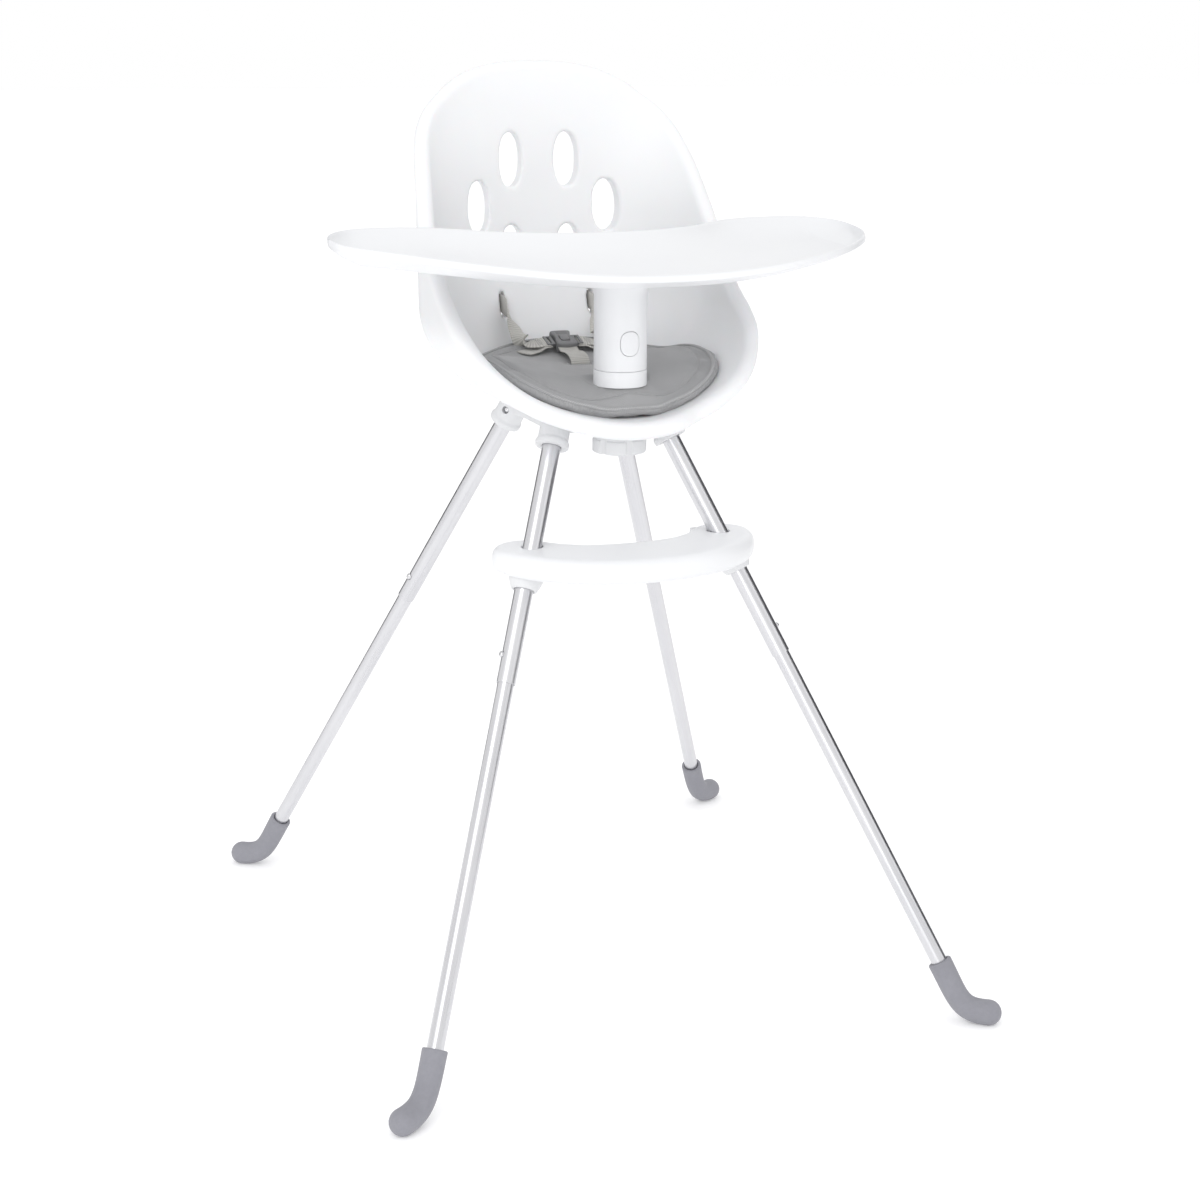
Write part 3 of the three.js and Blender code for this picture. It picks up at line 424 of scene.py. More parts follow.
def plastic(name, base, r_lo, r_hi, grain, grain_depth, peel=0.0, var=0.02, spec=0.45):
    n = Nodes(name)
    v = n.coords()
    big, mid = n.noise(v, 6.0, 2.0), n.noise(v, 45.0, 3.0, 0.5)
    n.colour(n.math("ADD", n.math("MULTIPLY", big, 0.75), n.math("MULTIPLY", mid, 0.25)),
             [(0.3, tone(base, 1 - var)), (0.5, base), (0.72, tone(base, 1 + var * 0.5))])
    n.link(n.spread(mid, r_lo, r_hi), n.bsdf.inputs["Roughness"])
    layers = [(n.noise(v, grain, 2.0, 0.6), 0.35, grain_depth)]
    if peel:
        layers.insert(0, (n.noise(v, 140.0, 1.0), 0.25, peel))
    n.bump(*layers)
    n.set(Specular_IOR_Level=spec)
    return n


shell_n = plastic("shell_foam", (0.832, 0.837, 0.850), 0.40, 0.50, 1500.0, 0.00005, peel=0.00008, var=0.012)
shell_n.set(Subsurface_Weight=0.06, Subsurface_Scale=0.004)
tray_n = plastic("tray_plastic", (0.785, 0.792, 0.808), 0.34, 0.38, 1500.0, 0.00003, peel=0.00006, var=0.006, spec=0.45)
base_n = plastic("base_plastic", (0.70, 0.706, 0.718), 0.46, 0.60, 2200.0, 0.00007, var=0.02)
buckle_n = plastic("buckle_plastic", (0.20, 0.20, 0.205), 0.36, 0.5, 1800.0, 0.00006, var=0.08)

rub = Nodes("foot_rubber")
v = rub.coords()
blot, dust, fine = rub.noise(v, 18.0, 3.0), rub.noise(v, 220.0, 5.0, 0.7), rub.noise(v, 1600.0, 2.0, 0.7)
rub.colour(rub.math("ADD", rub.math("MULTIPLY", blot, 0.5), rub.math("MULTIPLY", dust, 0.5)),
           [(0.3, (0.235, 0.235, 0.262)), (0.5, (0.262, 0.262, 0.292)), (0.75, (0.300, 0.300, 0.330))])
rub.link(rub.spread(dust, 0.55, 0.76), rub.bsdf.inputs["Roughness"])
rub.bump((rub.noise(v, 320.0, 3.0), 0.3, 0.00012), (fine, 0.4, 0.00008))
rub.set(Specular_IOR_Level=0.35, Sheen_Weight=0.08, Sheen_Roughness=0.5)

alu = Nodes("leg_tube")
v = alu.coords("flow", (1, 1, 1))
streak = alu.noise(alu.coords("flow", (900.0, 2.2, 900.0)), 1.0, 4.0, 0.7)
cloudy = alu.noise(alu.coords("flow", (40.0, 9.0, 40.0)), 1.0, 3.0)
alu.colour(alu.math("ADD", alu.math("MULTIPLY", streak, 0.55), alu.math("MULTIPLY", cloudy, 0.45)),
           [(0.3, (0.60, 0.60, 0.625)), (0.5, (0.66, 0.66, 0.68)), (0.72, (0.73, 0.73, 0.745))])
alu.link(alu.spread(alu.math("ADD", alu.math("MULTIPLY", streak, 0.5), alu.math("MULTIPLY", cloudy, 0.5)), 0.24, 0.36, 0.35, 0.65), alu.bsdf.inputs["Roughness"])
alu.bump((streak, 0.22, 0.00003))
alu.set(Metallic=1.0)

ste = Nodes("steel")
v = ste.coords()
sn = ste.noise(v, 500.0, 3.0)
ste.colour(sn, [(0.3, (0.62, 0.62, 0.64)), (0.7, (0.74, 0.74, 0.755))])
ste.link(ste.spread(sn, 0.16, 0.28), ste.bsdf.inputs["Roughness"])
ste.bump((ste.noise(v, 1500.0, 2.0), 0.15, 0.00002))
ste.set(Metallic=1.0)

# plain weave of fine heathered yarn, laid in the plan of the seat
fab = Nodes("pad_fabric")
v = fab.coords()
warp = fab.wave(fab.coords("object", (1, 1, 0.2), (0, 0, 0.785)), 190.0, "X", 0.25)
weft = fab.wave(fab.coords("object", (1, 1, 0.2), (0, 0, 0.785)), 190.0, "Y", 0.25)
weave = fab.math("MAXIMUM", warp, weft)
heather = fab.noise(v, 700.0, 4.0, 0.7)
soil = fab.noise(v, 14.0, 3.0)
mixf = fab.math("ADD", fab.math("ADD", fab.math("MULTIPLY", heather, 0.45), fab.math("MULTIPLY", weave, 0.25)), fab.math("MULTIPLY", soil, 0.3))
fab.colour(mixf, [(0.3, (0.285, 0.285, 0.29)), (0.52, (0.345, 0.345, 0.35)), (0.75, (0.405, 0.405, 0.41))])
fab.link(fab.spread(heather, 0.72, 0.92), fab.bsdf.inputs["Roughness"])
fab.bump((fab.noise(v, 55.0, 2.0), 0.35, 0.0012), (weave, 0.55, 0.00022), (heather, 0.25, 0.0001))
fab.set(Sheen_Weight=0.35, Sheen_Roughness=0.4, Specular_IOR_Level=0.25)

pip = Nodes("pad_piping")
v = pip.coords("flow")
tw = pip.wave(pip.coords("flow", (1, 1, 1), (0, 0, 0.6)), 170.0, "X", 0.3)
pn = pip.noise(pip.coords(), 600.0, 3.0)
pip.colour(pip.math("ADD", pip.math("MULTIPLY", tw, 0.5), pip.math("MULTIPLY", pn, 0.5)),
           [(0.25, (0.30, 0.30, 0.305)), (0.75, (0.47, 0.47, 0.475))])
pip.link(pip.spread(pn, 0.7, 0.9), pip.bsdf.inputs["Roughness"])
pip.bump((tw, 0.6, 0.0002))
pip.set(Sheen_Weight=0.3, Specular_IOR_Level=0.25)

# ribbed webbing: flow x runs across the strap, y along it, both in metres
web = Nodes("webbing")
rib = web.wave(web.coords("flow"), 130.0, "Y", 0.6)
yarn = web.wave(web.coords("flow"), 330.0, "X", 0.3)
wn = web.noise(web.coords(), 900.0, 4.0, 0.7)
ws = web.noise(web.coords(), 40.0, 3.0)
wf = web.math("ADD", web.math("ADD", web.math("MULTIPLY", rib, 0.35), web.math("MULTIPLY", yarn, 0.15)), web.math("ADD", web.math("MULTIPLY", wn, 0.25), web.math("MULTIPLY", ws, 0.25)))
web.colour(wf, [(0.25, (0.40, 0.39, 0.365)), (0.5, (0.52, 0.51, 0.48)), (0.75, (0.62, 0.61, 0.58))])
web.link(web.spread(wn, 0.7, 0.9), web.bsdf.inputs["Roughness"])
web.bump((rib, 0.6, 0.0003), (yarn, 0.35, 0.00012))
web.set(Sheen_Weight=0.2, Specular_IOR_Level=0.25)

thr = Nodes("thread")
tn = thr.noise(thr.coords(), 2500.0, 2.0)
thr.colour(tn, [(0.3, (0.36, 0.36, 0.37)), (0.7, (0.50, 0.50, 0.51))])
thr.link(thr.spread(tn, 0.6, 0.85), thr.bsdf.inputs["Roughness"])
thr.bump((tn, 0.4, 0.00005))

MATS = {"shell_foam": shell_n.mat, "tray_plastic": tray_n.mat, "base_plastic": base_n.mat, "leg_tube": alu.mat,
        "foot_rubber": rub.mat, "pad_fabric": fab.mat, "webbing": web.mat, "buckle_plastic": buckle_n.mat, "steel": ste.mat}


def finish_piece(o, material, body, slot, *replaced):
    m = MATS.get(material, material)
    o.data.materials.clear()
    o.data.materials.append(m)
    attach(o, body)
    if replaced:
        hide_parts(*replaced)
    return o


# every carried-over CAD node gets its slot's material
for sub in frame["record"]["subparts"]:
    o = frame["nodes"].get(sub["node"])
    if o is not None and sub.get("material_slot") in MATS:
        for s in o.material_slots:
            s.material = MATS[sub["material_slot"]]

# ------------------------------------------------------------------ bucket surface
def half_width(z):
    z = np.asarray(z, float)
    return np.where(z >= SIDE_Z, SEAT_W, SEAT_W * np.sqrt(np.clip(1 - ((SIDE_Z - z) / SIDE_C) ** 2, 0, 1)))


def back_curve(z):
    z = np.asarray(z, float)
    return np.where(z >= BACK_Z, 1.0, np.sqrt(np.clip(1 - ((BACK_Z - z) / BACK_C) ** 2, 0, 1)))


def back_depth(z):
    return BACK_B * back_curve(z) - 50 * smooth(800, 915, z)


def back_y(z):
    z = np.asarray(z, float)
    return BACK_Y + BACK_B * back_curve(z) + np.where(z > BACK_Z, 10 * ((z - BACK_Z) / 115) ** 2, 0)


def inside(p):
    x, y, z = p[..., 0], p[..., 1], p[..., 2]
    w, b = np.maximum(half_width(z), 1e-6), np.maximum(back_depth(z), 1e-6)
    yy = np.maximum(y - (back_y(z) - b), 0) / b
    return (z > SEAT_FLOOR) & ((x / w) ** 2 + yy ** 2 < 1)


EYE = np.array([0.0, 30.0, 770.0])
POLE = unit(np.array([0.0, 95.0, -80.0]))


def wall_hit(d):
    a, b = np.zeros(d.shape[:-1]), np.full(d.shape[:-1], 420.0)
    for _ in range(36):
        m = (a + b) / 2
        k = inside(EYE + d * m[..., None])
        a, b = np.where(k, m, a), np.where(k, b, m)
    return EYE + d * ((a + b) / 2)[..., None]


RIM_PROFILE = [(-149, 610.1), (-141, 614), (-129, 619), (-123, 627), (-117, 637), (-108.5, 649), (-96.5, 661), (-81, 674),
               (-64, 688), (-44, 699), (-21, 712), (-1, 727), (15, 743), (29, 761), (42, 779), (53, 797), (64, 816), (76, 835),
               (89, 853), (103, 872), (118, 891), (131, 907), (140, 921), (147, 931), (152.5, 937.5), (155.4, 940.2), (156.5, 941)]
half = []
for i, (y, z) in enumerate(RIM_PROFILE):
    b = float(back_depth(z))
    Y = max(y - (float(back_y(z)) - b), 0) / b
    x = 0.0 if i in (0, len(RIM_PROFILE) - 1) else float(half_width(z)) * math.sqrt(max(0, 1 - Y * Y))
    half.append((x, y, z))
loop = half + [(-x, y, z) for x, y, z in half[1:-1][::-1]]
RN = 1440
rim_pts = spaced(catmull(loop, True, 40), RN, True)
for i in range(RN // 2 + 1):
    j = (RN - i) % RN
    x, y, z = (rim_pts[i, 0] - rim_pts[j, 0]) / 2, (rim_pts[i, 1] + rim_pts[j, 1]) / 2, (rim_pts[i, 2] + rim_pts[j, 2]) / 2
    rim_pts[i] = (0 if i in (0, RN // 2) else x, y, z)
    rim_pts[j] = (-rim_pts[i, 0], y, z)


def wall_point(t, v):
    t, v = np.broadcast_arrays(np.asarray(t, float), np.asarray(v, float))
    f = (t % 1.0) * RN
    i = np.floor(f).astype(int)
    k = (f - i)[..., None]
    p = unit(rim_pts[i % RN] * (1 - k) + rim_pts[(i + 1) % RN] * k - EYE)
    ang = np.arccos(np.clip(p @ POLE, -1, 1))
    s = np.sin(ang)
    d = p * (np.sin((1 - v) * ang) / s)[..., None] + POLE * (np.sin(v * ang) / s)[..., None]
    return wall_hit(unit(d))


def wall_normal(t, v, e=0.004):
    a = wall_point(t + e, v) - wall_point(t - e, v)
    b = wall_point(t, v + e) - wall_point(t, v - e)
    n = unit(np.cross(a, b))
    s = np.sum(n * (wall_point(t, v) - EYE), axis=-1, keepdims=True)
    return np.where(s < 0, -n, n)


def wall_grid(nt, rows):
    T, V = np.meshgrid(np.arange(nt) / nt, np.asarray(rows, float))
    return wall_point(T, V), wall_normal(T, V)


def bucket_room(name, d, nt=96, nv=22):
    P, N = wall_grid(nt, np.linspace(0, 0.93, nv))
    rings = list((P + N * d)[::-1])
    pole = wall_hit(POLE[None])[0]
    return loft(name, rings, pole + unit(pole - EYE) * d * 0.9, (0, 0, 790))


def floor_z(x, y):
    x, y = np.broadcast_arrays(np.asarray(x, float), np.asarray(y, float))
    a, b = np.full(x.shape, SEAT_FLOOR), np.full(x.shape, BACK_Z)
    for _ in range(36):
        m = (a + b) / 2
        k = inside(np.stack([x, y, m], axis=-1))
        b, a = np.where(k, m, b), np.where(k, a, m)
    return (a + b) / 2


# ------------------------------------------------------------------ seat shell
VENTS = [(31.8, 845, 13.8, 29.4), (72.8, 796.3, 14, 28.2), (32.3, 747.6, 13.8, 29)]
rows = np.linspace(0, 0.965, 44)
G, GN = wall_grid(224, rows)
down = unit(wall_point(np.arange(224) / 224, 0.01) - G[0])
rings = list((G + GN * WALL)[::-1])
r = WALL / 2
for a in np.radians(np.arange(18, 180, 18)):
    rings.append(G[0] + GN[0] * (r + r * math.cos(a)) - down * (r * math.sin(a)))
rings += list(G)
pole = wall_hit(POLE[None])[0]
pole_n = unit(np.mean(GN[-1], axis=0))
shell = loft("seat_shell_moulding", rings, pole + pole_n * WALL, pole)
cutters = []
for x, z, a, b in VENTS:
    for s in (-1, 1):
        cutters.append(y_prism("c", oval(a - 0.4, b - 0.4, 72, 2.25) + (s * x, z), 85, 205))
for s in (-1, 1):
    cutters.append(y_prism("c", oval(3.4, 14.6, 40, 3.2) + (s * 50.7, 694), 98, 190))
cutters.append(lathe("c", (0, POST_Y, 0), (0, 0, 1), [(560, POST_R + 1.0), (650, POST_R + 1.0)], 64))
cut(shell, cutters)
remesh(shell, 0.0019, 7)
finish_piece(shell, "shell_foam", "chair", "shell_foam", "seat_shell")

# ------------------------------------------------------------------ seat base: hub plate, webs and sockets
def leg_top(sx, sy):
    return np.array([LEG_TOP[0] * sx, LEG_TOP[1] * sy, LEG_TOP[2]])


def leg_foot(sx, sy):
    return np.array([LEG_FOOT[0] * sx, LEG_FOOT[1] * sy, LEG_FOOT[2]])


LEG_LEN = float(np.linalg.norm(leg_foot(1, 1) - leg_top(1, 1)))
JOINT_AT = LEG_LEN * JOINT_FRAC


def leg_axis(sx, sy):
    return unit(leg_foot(sx, sy) - leg_top(sx, sy))


def sideways(axis, want):
    want = np.asarray(want, float)
    return unit(want - axis * float(want @ axis))


parts = [prism_data(round_rect(57, -57, 92, 14), 584, 622, 2.2)]
for _, sx, sy in QUADS:
    w = [(20 * sx, 34 * sy), (46 * sx, 22 * sy), (70 * sx, 62 * sy), (56 * sx, 78 * sy)]
    parts.append(prism_data(w, 585.5, 612))
hub = joined("seat_base_plate", parts)
m = hub.modifiers.new("r", "REMESH")
m.mode, m.voxel_size = "VOXEL", 0.0022
apply_all(hub)
cutters = [bucket_room("c", WALL - 0.5, 72, 16), lathe("c", (0, POST_Y, 0), (0, 0, 1), [(560, 29.0), (640, 29.0)], 64)]
cut(hub, cutters)
remesh(hub, 0.0018, 5)
finish_piece(hub, "base_plastic", "chair", "base_plastic", "seat_base")

for tag, sx, sy in QUADS:
    top, u = leg_top(sx, sy), leg_axis(sx, sy)
    prof = rounded([(-34, 15.4), (-8, 15.6), (-5.2, 17.4), (0, 17.1), (0, UPPER_R + 0.45), (-16, UPPER_R + 0.45)], 1.3, 4)
    sock = lathe(f"leg_socket_{tag}", top, u, prof, 72)
    rad = unit([u[0], u[1], 0])
    tang = sideways(u, [sx * abs(rad[1]), -sy * abs(rad[0]), 0])
    bp = top - u * SOCKET_BUTTON_UP
    cut(sock, lathe("c", bp, tang, [(0, 4.1), (30, 4.1)], 32))
    smooth_by_angle(sock.data, 38)
    finish_piece(sock, "base_plastic", "chair", "base_plastic", "seat_base")
    btn = lathe(f"socket_button_{tag}_dome", bp, tang, rounded([(5.4, 4.2), (6.6, 4.2), (6.6, 3.4), (12.4, 3.4), (13.6, 1.8)], 0.9, 4), 40)
    finish_piece(btn, "steel", f"socket_button_{tag}", "steel", f"socket_button_{tag}")

# ------------------------------------------------------------------ legs
def tube_piece(name, top, u, a, b, ro, ri, holes):
    seg = 72
    prof = [(a + 0.25, ro), *[(a + 0.25 + (b - a - 0.5) * k / 24, ro) for k in range(1, 24)], (b - 0.25, ro), (b, ro - 0.25), (b, ri + 0.2), (b - 0.2, ri), (a + 0.2, ri), (a, ri + 0.2), (a, ro - 0.25)]
    o = lathe(name, top, u, prof, seg, wrap=True, deg=30)
    if holes:
        cut(o, [lathe("c", p, d, [(3, 3.85), (22, 3.85)], 36) for p, d in holes])
        smooth_by_angle(o.data, 30)
    ax, e1, e2 = frame_of(u)

    def flow(p):
        q = p - top
        x, y, z = q @ e1, q @ e2, q @ ax
        rr = np.maximum(np.hypot(x, y), 1e-6)
        return np.column_stack([x / rr * ro, z, y / rr * ro]) * MM + np.array([hash_of(name), 0, 0])
    set_flow(o, flow)
    return o


def hash_of(name):
    return (sum(ord(c) * (i + 1) for i, c in enumerate(name)) % 97) * 0.013


def boot(name, sx, sy, seg=56, n=40):
    top, u = leg_foot(sx, sy), leg_axis(sx, sy)
    az, ez = math.radians(TOE_AZ), math.radians(TOE_END_AZ)
    end = np.array([top[0] + sx * TOE_REACH * math.cos(az), top[1] + sy * TOE_REACH * math.sin(az), TOE_R - 1.3])
    h = np.array([sx * math.cos(ez), sy * math.sin(ez), 0.0])
    b = [top, top + u * 44, end - h * 30, end]

    def pt(s):
        return (1 - s) ** 3 * b[0] + 3 * (1 - s) ** 2 * s * b[1] + 3 * (1 - s) * s * s * b[2] + s ** 3 * b[3]

    def tan(s):
        return unit(3 * (1 - s) ** 2 * (b[1] - b[0]) + 6 * (1 - s) * s * (b[2] - b[1]) + 3 * s * s * (b[3] - b[2]))

    def ring(p, t, r, flat=1.0):
        a = unit(np.cross(t, (0, 0, 1)))
        c = np.cross(a, t)
        f = np.arange(seg) * 2 * math.pi / seg - math.pi / 2
        return p + r * (np.outer(np.cos(f), a) + np.outer(np.sin(f), c) * flat)
    rings = []
    t0 = tan(0)
    # mouth: rounded lip, a shallow recess round the tube, a moulded step below
    for d, r in ((2.5, LOWER_R + 0.35), (0.6, LOWER_R + 0.4), (0.0, LOWER_R + 0.9), (0.0, FOOT_R - 1.4), (0.35, FOOT_R - 0.6), (1.1, FOOT_R - 0.05)):
        rings.append(ring(top + t0 * d, t0, r))
    for s in np.linspace(0.03, 1, n):
        r = FOOT_R + (TOE_R - FOOT_R) * float(smooth(0.3, 1, s)) - 0.5 * math.sin(math.pi * s)
        dlen = s * 3 * 44
        groove = 0.32 * math.exp(-((dlen - 9.5) / 0.8) ** 2)
        rings.append(ring(pt(s), tan(s), r - groove))
    for a in np.radians([12, 24, 36, 48, 60, 72, 82]):
        rings.append(ring(end + h * TOE_R * math.sin(a), h, TOE_R * math.cos(a)))
    v, f = loft_data(rings, top + t0 * 2.5, end + h * TOE_R)
    v = np.array(v)
    v[:, 2] = np.maximum(v[:, 2], 0)
    return from_data(name, v, f, deg=50)


for tag, sx, sy in QUADS:
    top, u = leg_top(sx, sy), leg_axis(sx, sy)
    joint = top + u * JOINT_AT
    out_x = sideways(u, [sx, 0, 0])
    rad = unit([u[0], u[1], 0])
    tang = sideways(u, [sx * abs(rad[1]), -sy * abs(rad[0]), 0])
    bp, sp = joint - u * BUTTON_UP, top - u * SOCKET_BUTTON_UP
    up_t = tube_piece(f"upper_tube_{tag}", top, u, -LEG_IN_SOCKET, JOINT_AT, UPPER_R, UPPER_IR, [(bp, out_x), (sp, tang)])
    finish_piece(up_t, "leg_tube", "chair", "leg_tube", f"upper_leg_{tag}")
    lo_t = tube_piece(f"lower_tube_{tag}", joint, u, -LAP, LEG_LEN - JOINT_AT + IN_FOOT, LOWER_R, LOWER_IR, [(bp, out_x)])
    finish_piece(lo_t, "leg_tube", "chair", "leg_tube", f"lower_leg_{tag}")
    dome = lathe(f"leg_button_{tag}_dome", bp, out_x, rounded([(4.0, 4.2), (5.2, 4.2), (5.2, 3.4), (10.6, 3.4), (12.0, 1.9)], 1.0, 5), 40)
    finish_piece(dome, "steel", f"leg_button_{tag}", "steel", f"leg_button_{tag}")
    ft = boot(f"rubber_foot_{tag}", sx, sy)
    finish_piece(ft, "foot_rubber", "chair", "foot_rubber", f"foot_{tag}")

# ------------------------------------------------------------------ post, rings and stem
UPV, PAX = np.array([0, 0, 1.0]), np.array([0, POST_Y, 0.0])
post = lathe("tray_post_tube", PAX, UPV, [(POST_BOTTOM, POST_R - 0.6), (POST_BOTTOM + 0.8, POST_R), (POST_TOP - 1.2, POST_R), (POST_TOP, POST_R - 1.0), (POST_TOP, POST_BORE + 0.6), (POST_TOP - 0.6, POST_BORE), (POST_BOTTOM + 0.6, POST_BORE), (POST_BOTTOM, POST_BORE + 0.6)], 96, wrap=True)
cut(post, y_prism("c", [(-13.5, 656), (13.5, 656), (13.5, 722), (-13.5, 722)], POST_Y - 40, POST_Y))
smooth_by_angle(post.data, 38)
finish_piece(post, "base_plastic", "chair", "base_plastic", "tray_post")

collar = lathe("post_collar_ring", PAX, UPV, rounded([(638.4, STEM_R - 0.3), (639.0, STEM_R + 0.15), (653.5, STEM_R + 0.15), (654.3, STEM_R - 0.5), (654.3, POST_R + 0.35), (638.4, POST_R + 0.35), (638.4, STEM_R - 0.3)][:-1], 0.35, 2), 112, wrap=True)
finish_piece(collar, "tray_plastic", "chair", "tray_plastic", "post_collar")

seg = 240
th = np.arange(seg) * 2 * math.pi / seg
lug = np.zeros(seg)
for i in range(6):
    c = math.radians(i * 60 + 30)
    d = (th - c + math.pi) % (2 * math.pi) - math.pi
    lug = np.maximum(lug, smooth(0.17, 0.10, np.abs(d)) if False else 1 - smooth(0.09, 0.16, np.abs(d)))
rings = []
for z, ro, k in [(570.5, 25.6, 1), (570.9, 26.6, 1), (571.7, 27.3, 1), (583.2, 27.3, 1), (584.2, 26.8, 0.6), (584.8, 25.6, 0), (591.4, 25.6, 0), (591.4, POST_R + 0.35, 0), (571.2, POST_R + 0.35, 0), (570.5, POST_R + 0.9, 0)]:
    rr = ro - 2.2 * lug * k
    rings.append(np.column_stack([rr * np.cos(th), POST_Y + rr * np.sin(th), np.full(seg, z)]))
nut = loft("post_lock_nut", rings, wrap=True)
finish_piece(nut, "base_plastic", "chair", "base_plastic", "post_lock_ring")

prof = rounded([(STEM_BOTTOM, STEM_R - 0.5), (STEM_BOTTOM + 0.6, STEM_R), (726, STEM_R), (733, STEM_R + 0.7), (738.5, STEM_R + 2.6), (742, STEM_R + 5.4), (STEM_TOP, STEM_R + 6.4), (STEM_TOP, 20), (STEM_ROOF, 20.0)][:7], 2.5, 5)
stem_prof = prof + [(STEM_TOP, 4.0), (STEM_ROOF, 4.0), (STEM_ROOF, STEM_BORE), (STEM_BOTTOM, STEM_BORE)]
stem = lathe("tray_stem_tube", PAX, UPV, stem_prof, 128, wrap=True, deg=32)
cut(stem, y_prism("c", oval(BUTTON_W / 2 + 0.42, BUTTON_H / 2 + 0.42, 64, 2.5) + (0, BUTTON_Z), POST_Y - 40, POST_Y - 8))
smooth_by_angle(stem.data, 32)
finish_piece(stem, "tray_plastic", "tray", "tray_plastic", "tray_stem")

# the release button is pressed out of the same curve, with a softened edge
rings = []
for off, f in ((-0.3, 1.0), (0.35, 1.0), (0.62, 0.975), (0.78, 0.93), (0.84, 0.82), (0.84, 0.6), (0.84, 0.3)):
    q = oval(BUTTON_W / 2 * f, BUTTON_H / 2 * f, 64, 2.5)
    rr = STEM_R + off
    rings.append(np.column_stack([q[:, 0], POST_Y - np.sqrt(rr ** 2 - q[:, 0] ** 2), q[:, 1] + BUTTON_Z]))
q = oval(BUTTON_W / 2, BUTTON_H / 2, 64, 2.5)
inner = np.column_stack([q[:, 0], np.full(64, POST_Y - 20.4), q[:, 1] + BUTTON_Z])
btn = loft("tray_release_button", [inner] + rings, (0, POST_Y - 20.4, BUTTON_Z), (0, POST_Y - STEM_R - 0.84, BUTTON_Z), deg=40)
finish_piece(btn, "tray_plastic", "tray_button", "tray_plastic", "tray_button")

# ------------------------------------------------------------------ tray
TF = [(0, -232, 762), (55, -230, 763), (110, -223, 767), (159, -206, 772), (205, -180, 777), (245, -138, 781), (265, -104, 782), (277, -72, 783), (281, -40, 785)]
TR = [(0, -50, 786), (42, -46.5, 786), (80, -36, 786.5), (112, -20, 787), (137, -1, 788), (160, 12, 788.8), (188, 17.5, 789.6), (218, 17, 790), (246, 10, 790), (266, -5, 789), (277, -21, 787.3), (281, -40, 785)]


def mirrored(p):
    return [(-x, y, z) for x, y, z in p[1:][::-1]] + list(p)


tf, tr = catmull(mirrored(TF), False, 40), catmull(mirrored(TR), False, 40)
DISH, SKIN, LIP = 19.0, 3.6, 6.5


def tray_ring(s):
    k = (s + 1) / 2
    F, R = at_fraction(tf, k), at_fraction(tr, k)
    span = float(np.linalg.norm(R - F))
    deep = DISH * min(1.0, span / 120)
    e = min(1.0, span / 30)

    def at(d, drop):
        p = F + (R - F) * (d / span)
        return np.array([p[0], p[1], p[2] - drop])

    def dish(q):
        return deep * (1 - (2 * q - 1) ** 4)
    out = []
    for a in np.linspace(0, math.pi / 2, 6):
        out.append(at((2.9 - 2.9 * math.cos(a)) * e, (3.0 - 3.0 * math.sin(a)) * e))
    for q in np.concatenate([[0.012, 0.03, 0.055, 0.085], np.linspace(0.12, 0.88, 20), [0.915, 0.945, 0.97, 0.988]]):
        out.append(at(3.4 * e + (span - 6.8 * e) * q, dish(q) * 0.98))
    for a in np.linspace(math.pi / 2, 0, 6):
        out.append(at(span - (2.9 - 2.9 * math.cos(a)) * e, (3.0 - 3.0 * math.sin(a)) * e))
    out.append(at(span, 5.2 * e))
    out.append(at(span - 0.35 * e, 6.1 * e))
    for q in np.concatenate([[0.985, 0.96, 0.93, 0.9], np.linspace(0.86, 0.14, 18), [0.1, 0.07, 0.04, 0.015]]):
        out.append(at(1.2 * e + (span - 2.4 * e) * q, dish(q) + SKIN + 2.6 * e * (1 - min(1.0, dish(q) / 8))))
    out.append(at(0.35 * e, 6.1 * e))
    out.append(at(0, 5.2 * e))
    return out


cols = np.sin((np.arange(1, 180) / 180 - 0.5) * math.pi)
tray = loft("tray_moulding", [tray_ring(s) for s in cols], tf[0], tf[-1], deg=60)
finish_piece(tray, "tray_plastic", "tray", "tray_plastic", "tray")
boss = lathe("tray_boss", PAX, UPV, rounded([(STEM_TOP + 0.3, STEM_R + 6.3), (STEM_TOP + 3, STEM_R + 7.2), (766.0, STEM_R + 8.4)], 1.0, 4), 112)
bv = BVHTree.FromObject(tray, bpy.context.evaluated_depsgraph_get())
for vert in boss.data.vertices:
    hit = bv.ray_cast(Vector((vert.co.x, vert.co.y, 0.70)), Vector((0, 0, 1)))
    if hit[0] is not None and vert.co.z > hit[0].z + 0.0012:
        vert.co.z = hit[0].z + 0.0012
finish_piece(boss, "tray_plastic", "tray", "tray_plastic", "tray")

# ------------------------------------------------------------------ footrest
FR = [(0, -206.5), (30, -204.5), (58, -198), (84, -186), (108, -168), (127, -146), (138, -122), (139, -101), (128, -85), (110, -78), (92, -81), (80, -92), (66, -108), (46, -119), (22, -124), (0, -125)]
fl = FR + [(-x, y) for x, y in FR[1:-1][::-1]]
outline = spaced(catmull([(x, y, 0) for x, y in fl], True, 30), 260, True)
tang2 = unit(np.roll(outline, -1, axis=0) - np.roll(outline, 1, axis=0))
nin = np.column_stack([-tang2[:, 1], tang2[:, 0], np.zeros(len(outline))])
rings = []
for a in np.radians(np.arange(0, 91, 11.25)):
    rings.append(outline + nin * 7.5 * (1 - math.sin(a)) + np.array([0, 0, FR_BOTTOM + 7.5 * (1 - math.cos(a))]))
for a in np.radians(np.arange(90, -1, -11.25)):
    rings.append(outline + nin * 9.5 * (1 - math.sin(a)) + np.array([0, 0, FR_TOP - 9.5 * (1 - math.cos(a))]))
rest = loft("footrest_moulding", rings, (0, -165, FR_BOTTOM), (0, -165, FR_TOP), deg=50)
m = rest.modifiers.new("r", "REMESH")
m.mode, m.voxel_size = "VOXEL", 0.0018
s = rest.modifiers.new("s", "SMOOTH")
s.factor, s.iterations = 0.5, 6
apply_all(rest)
holes = []
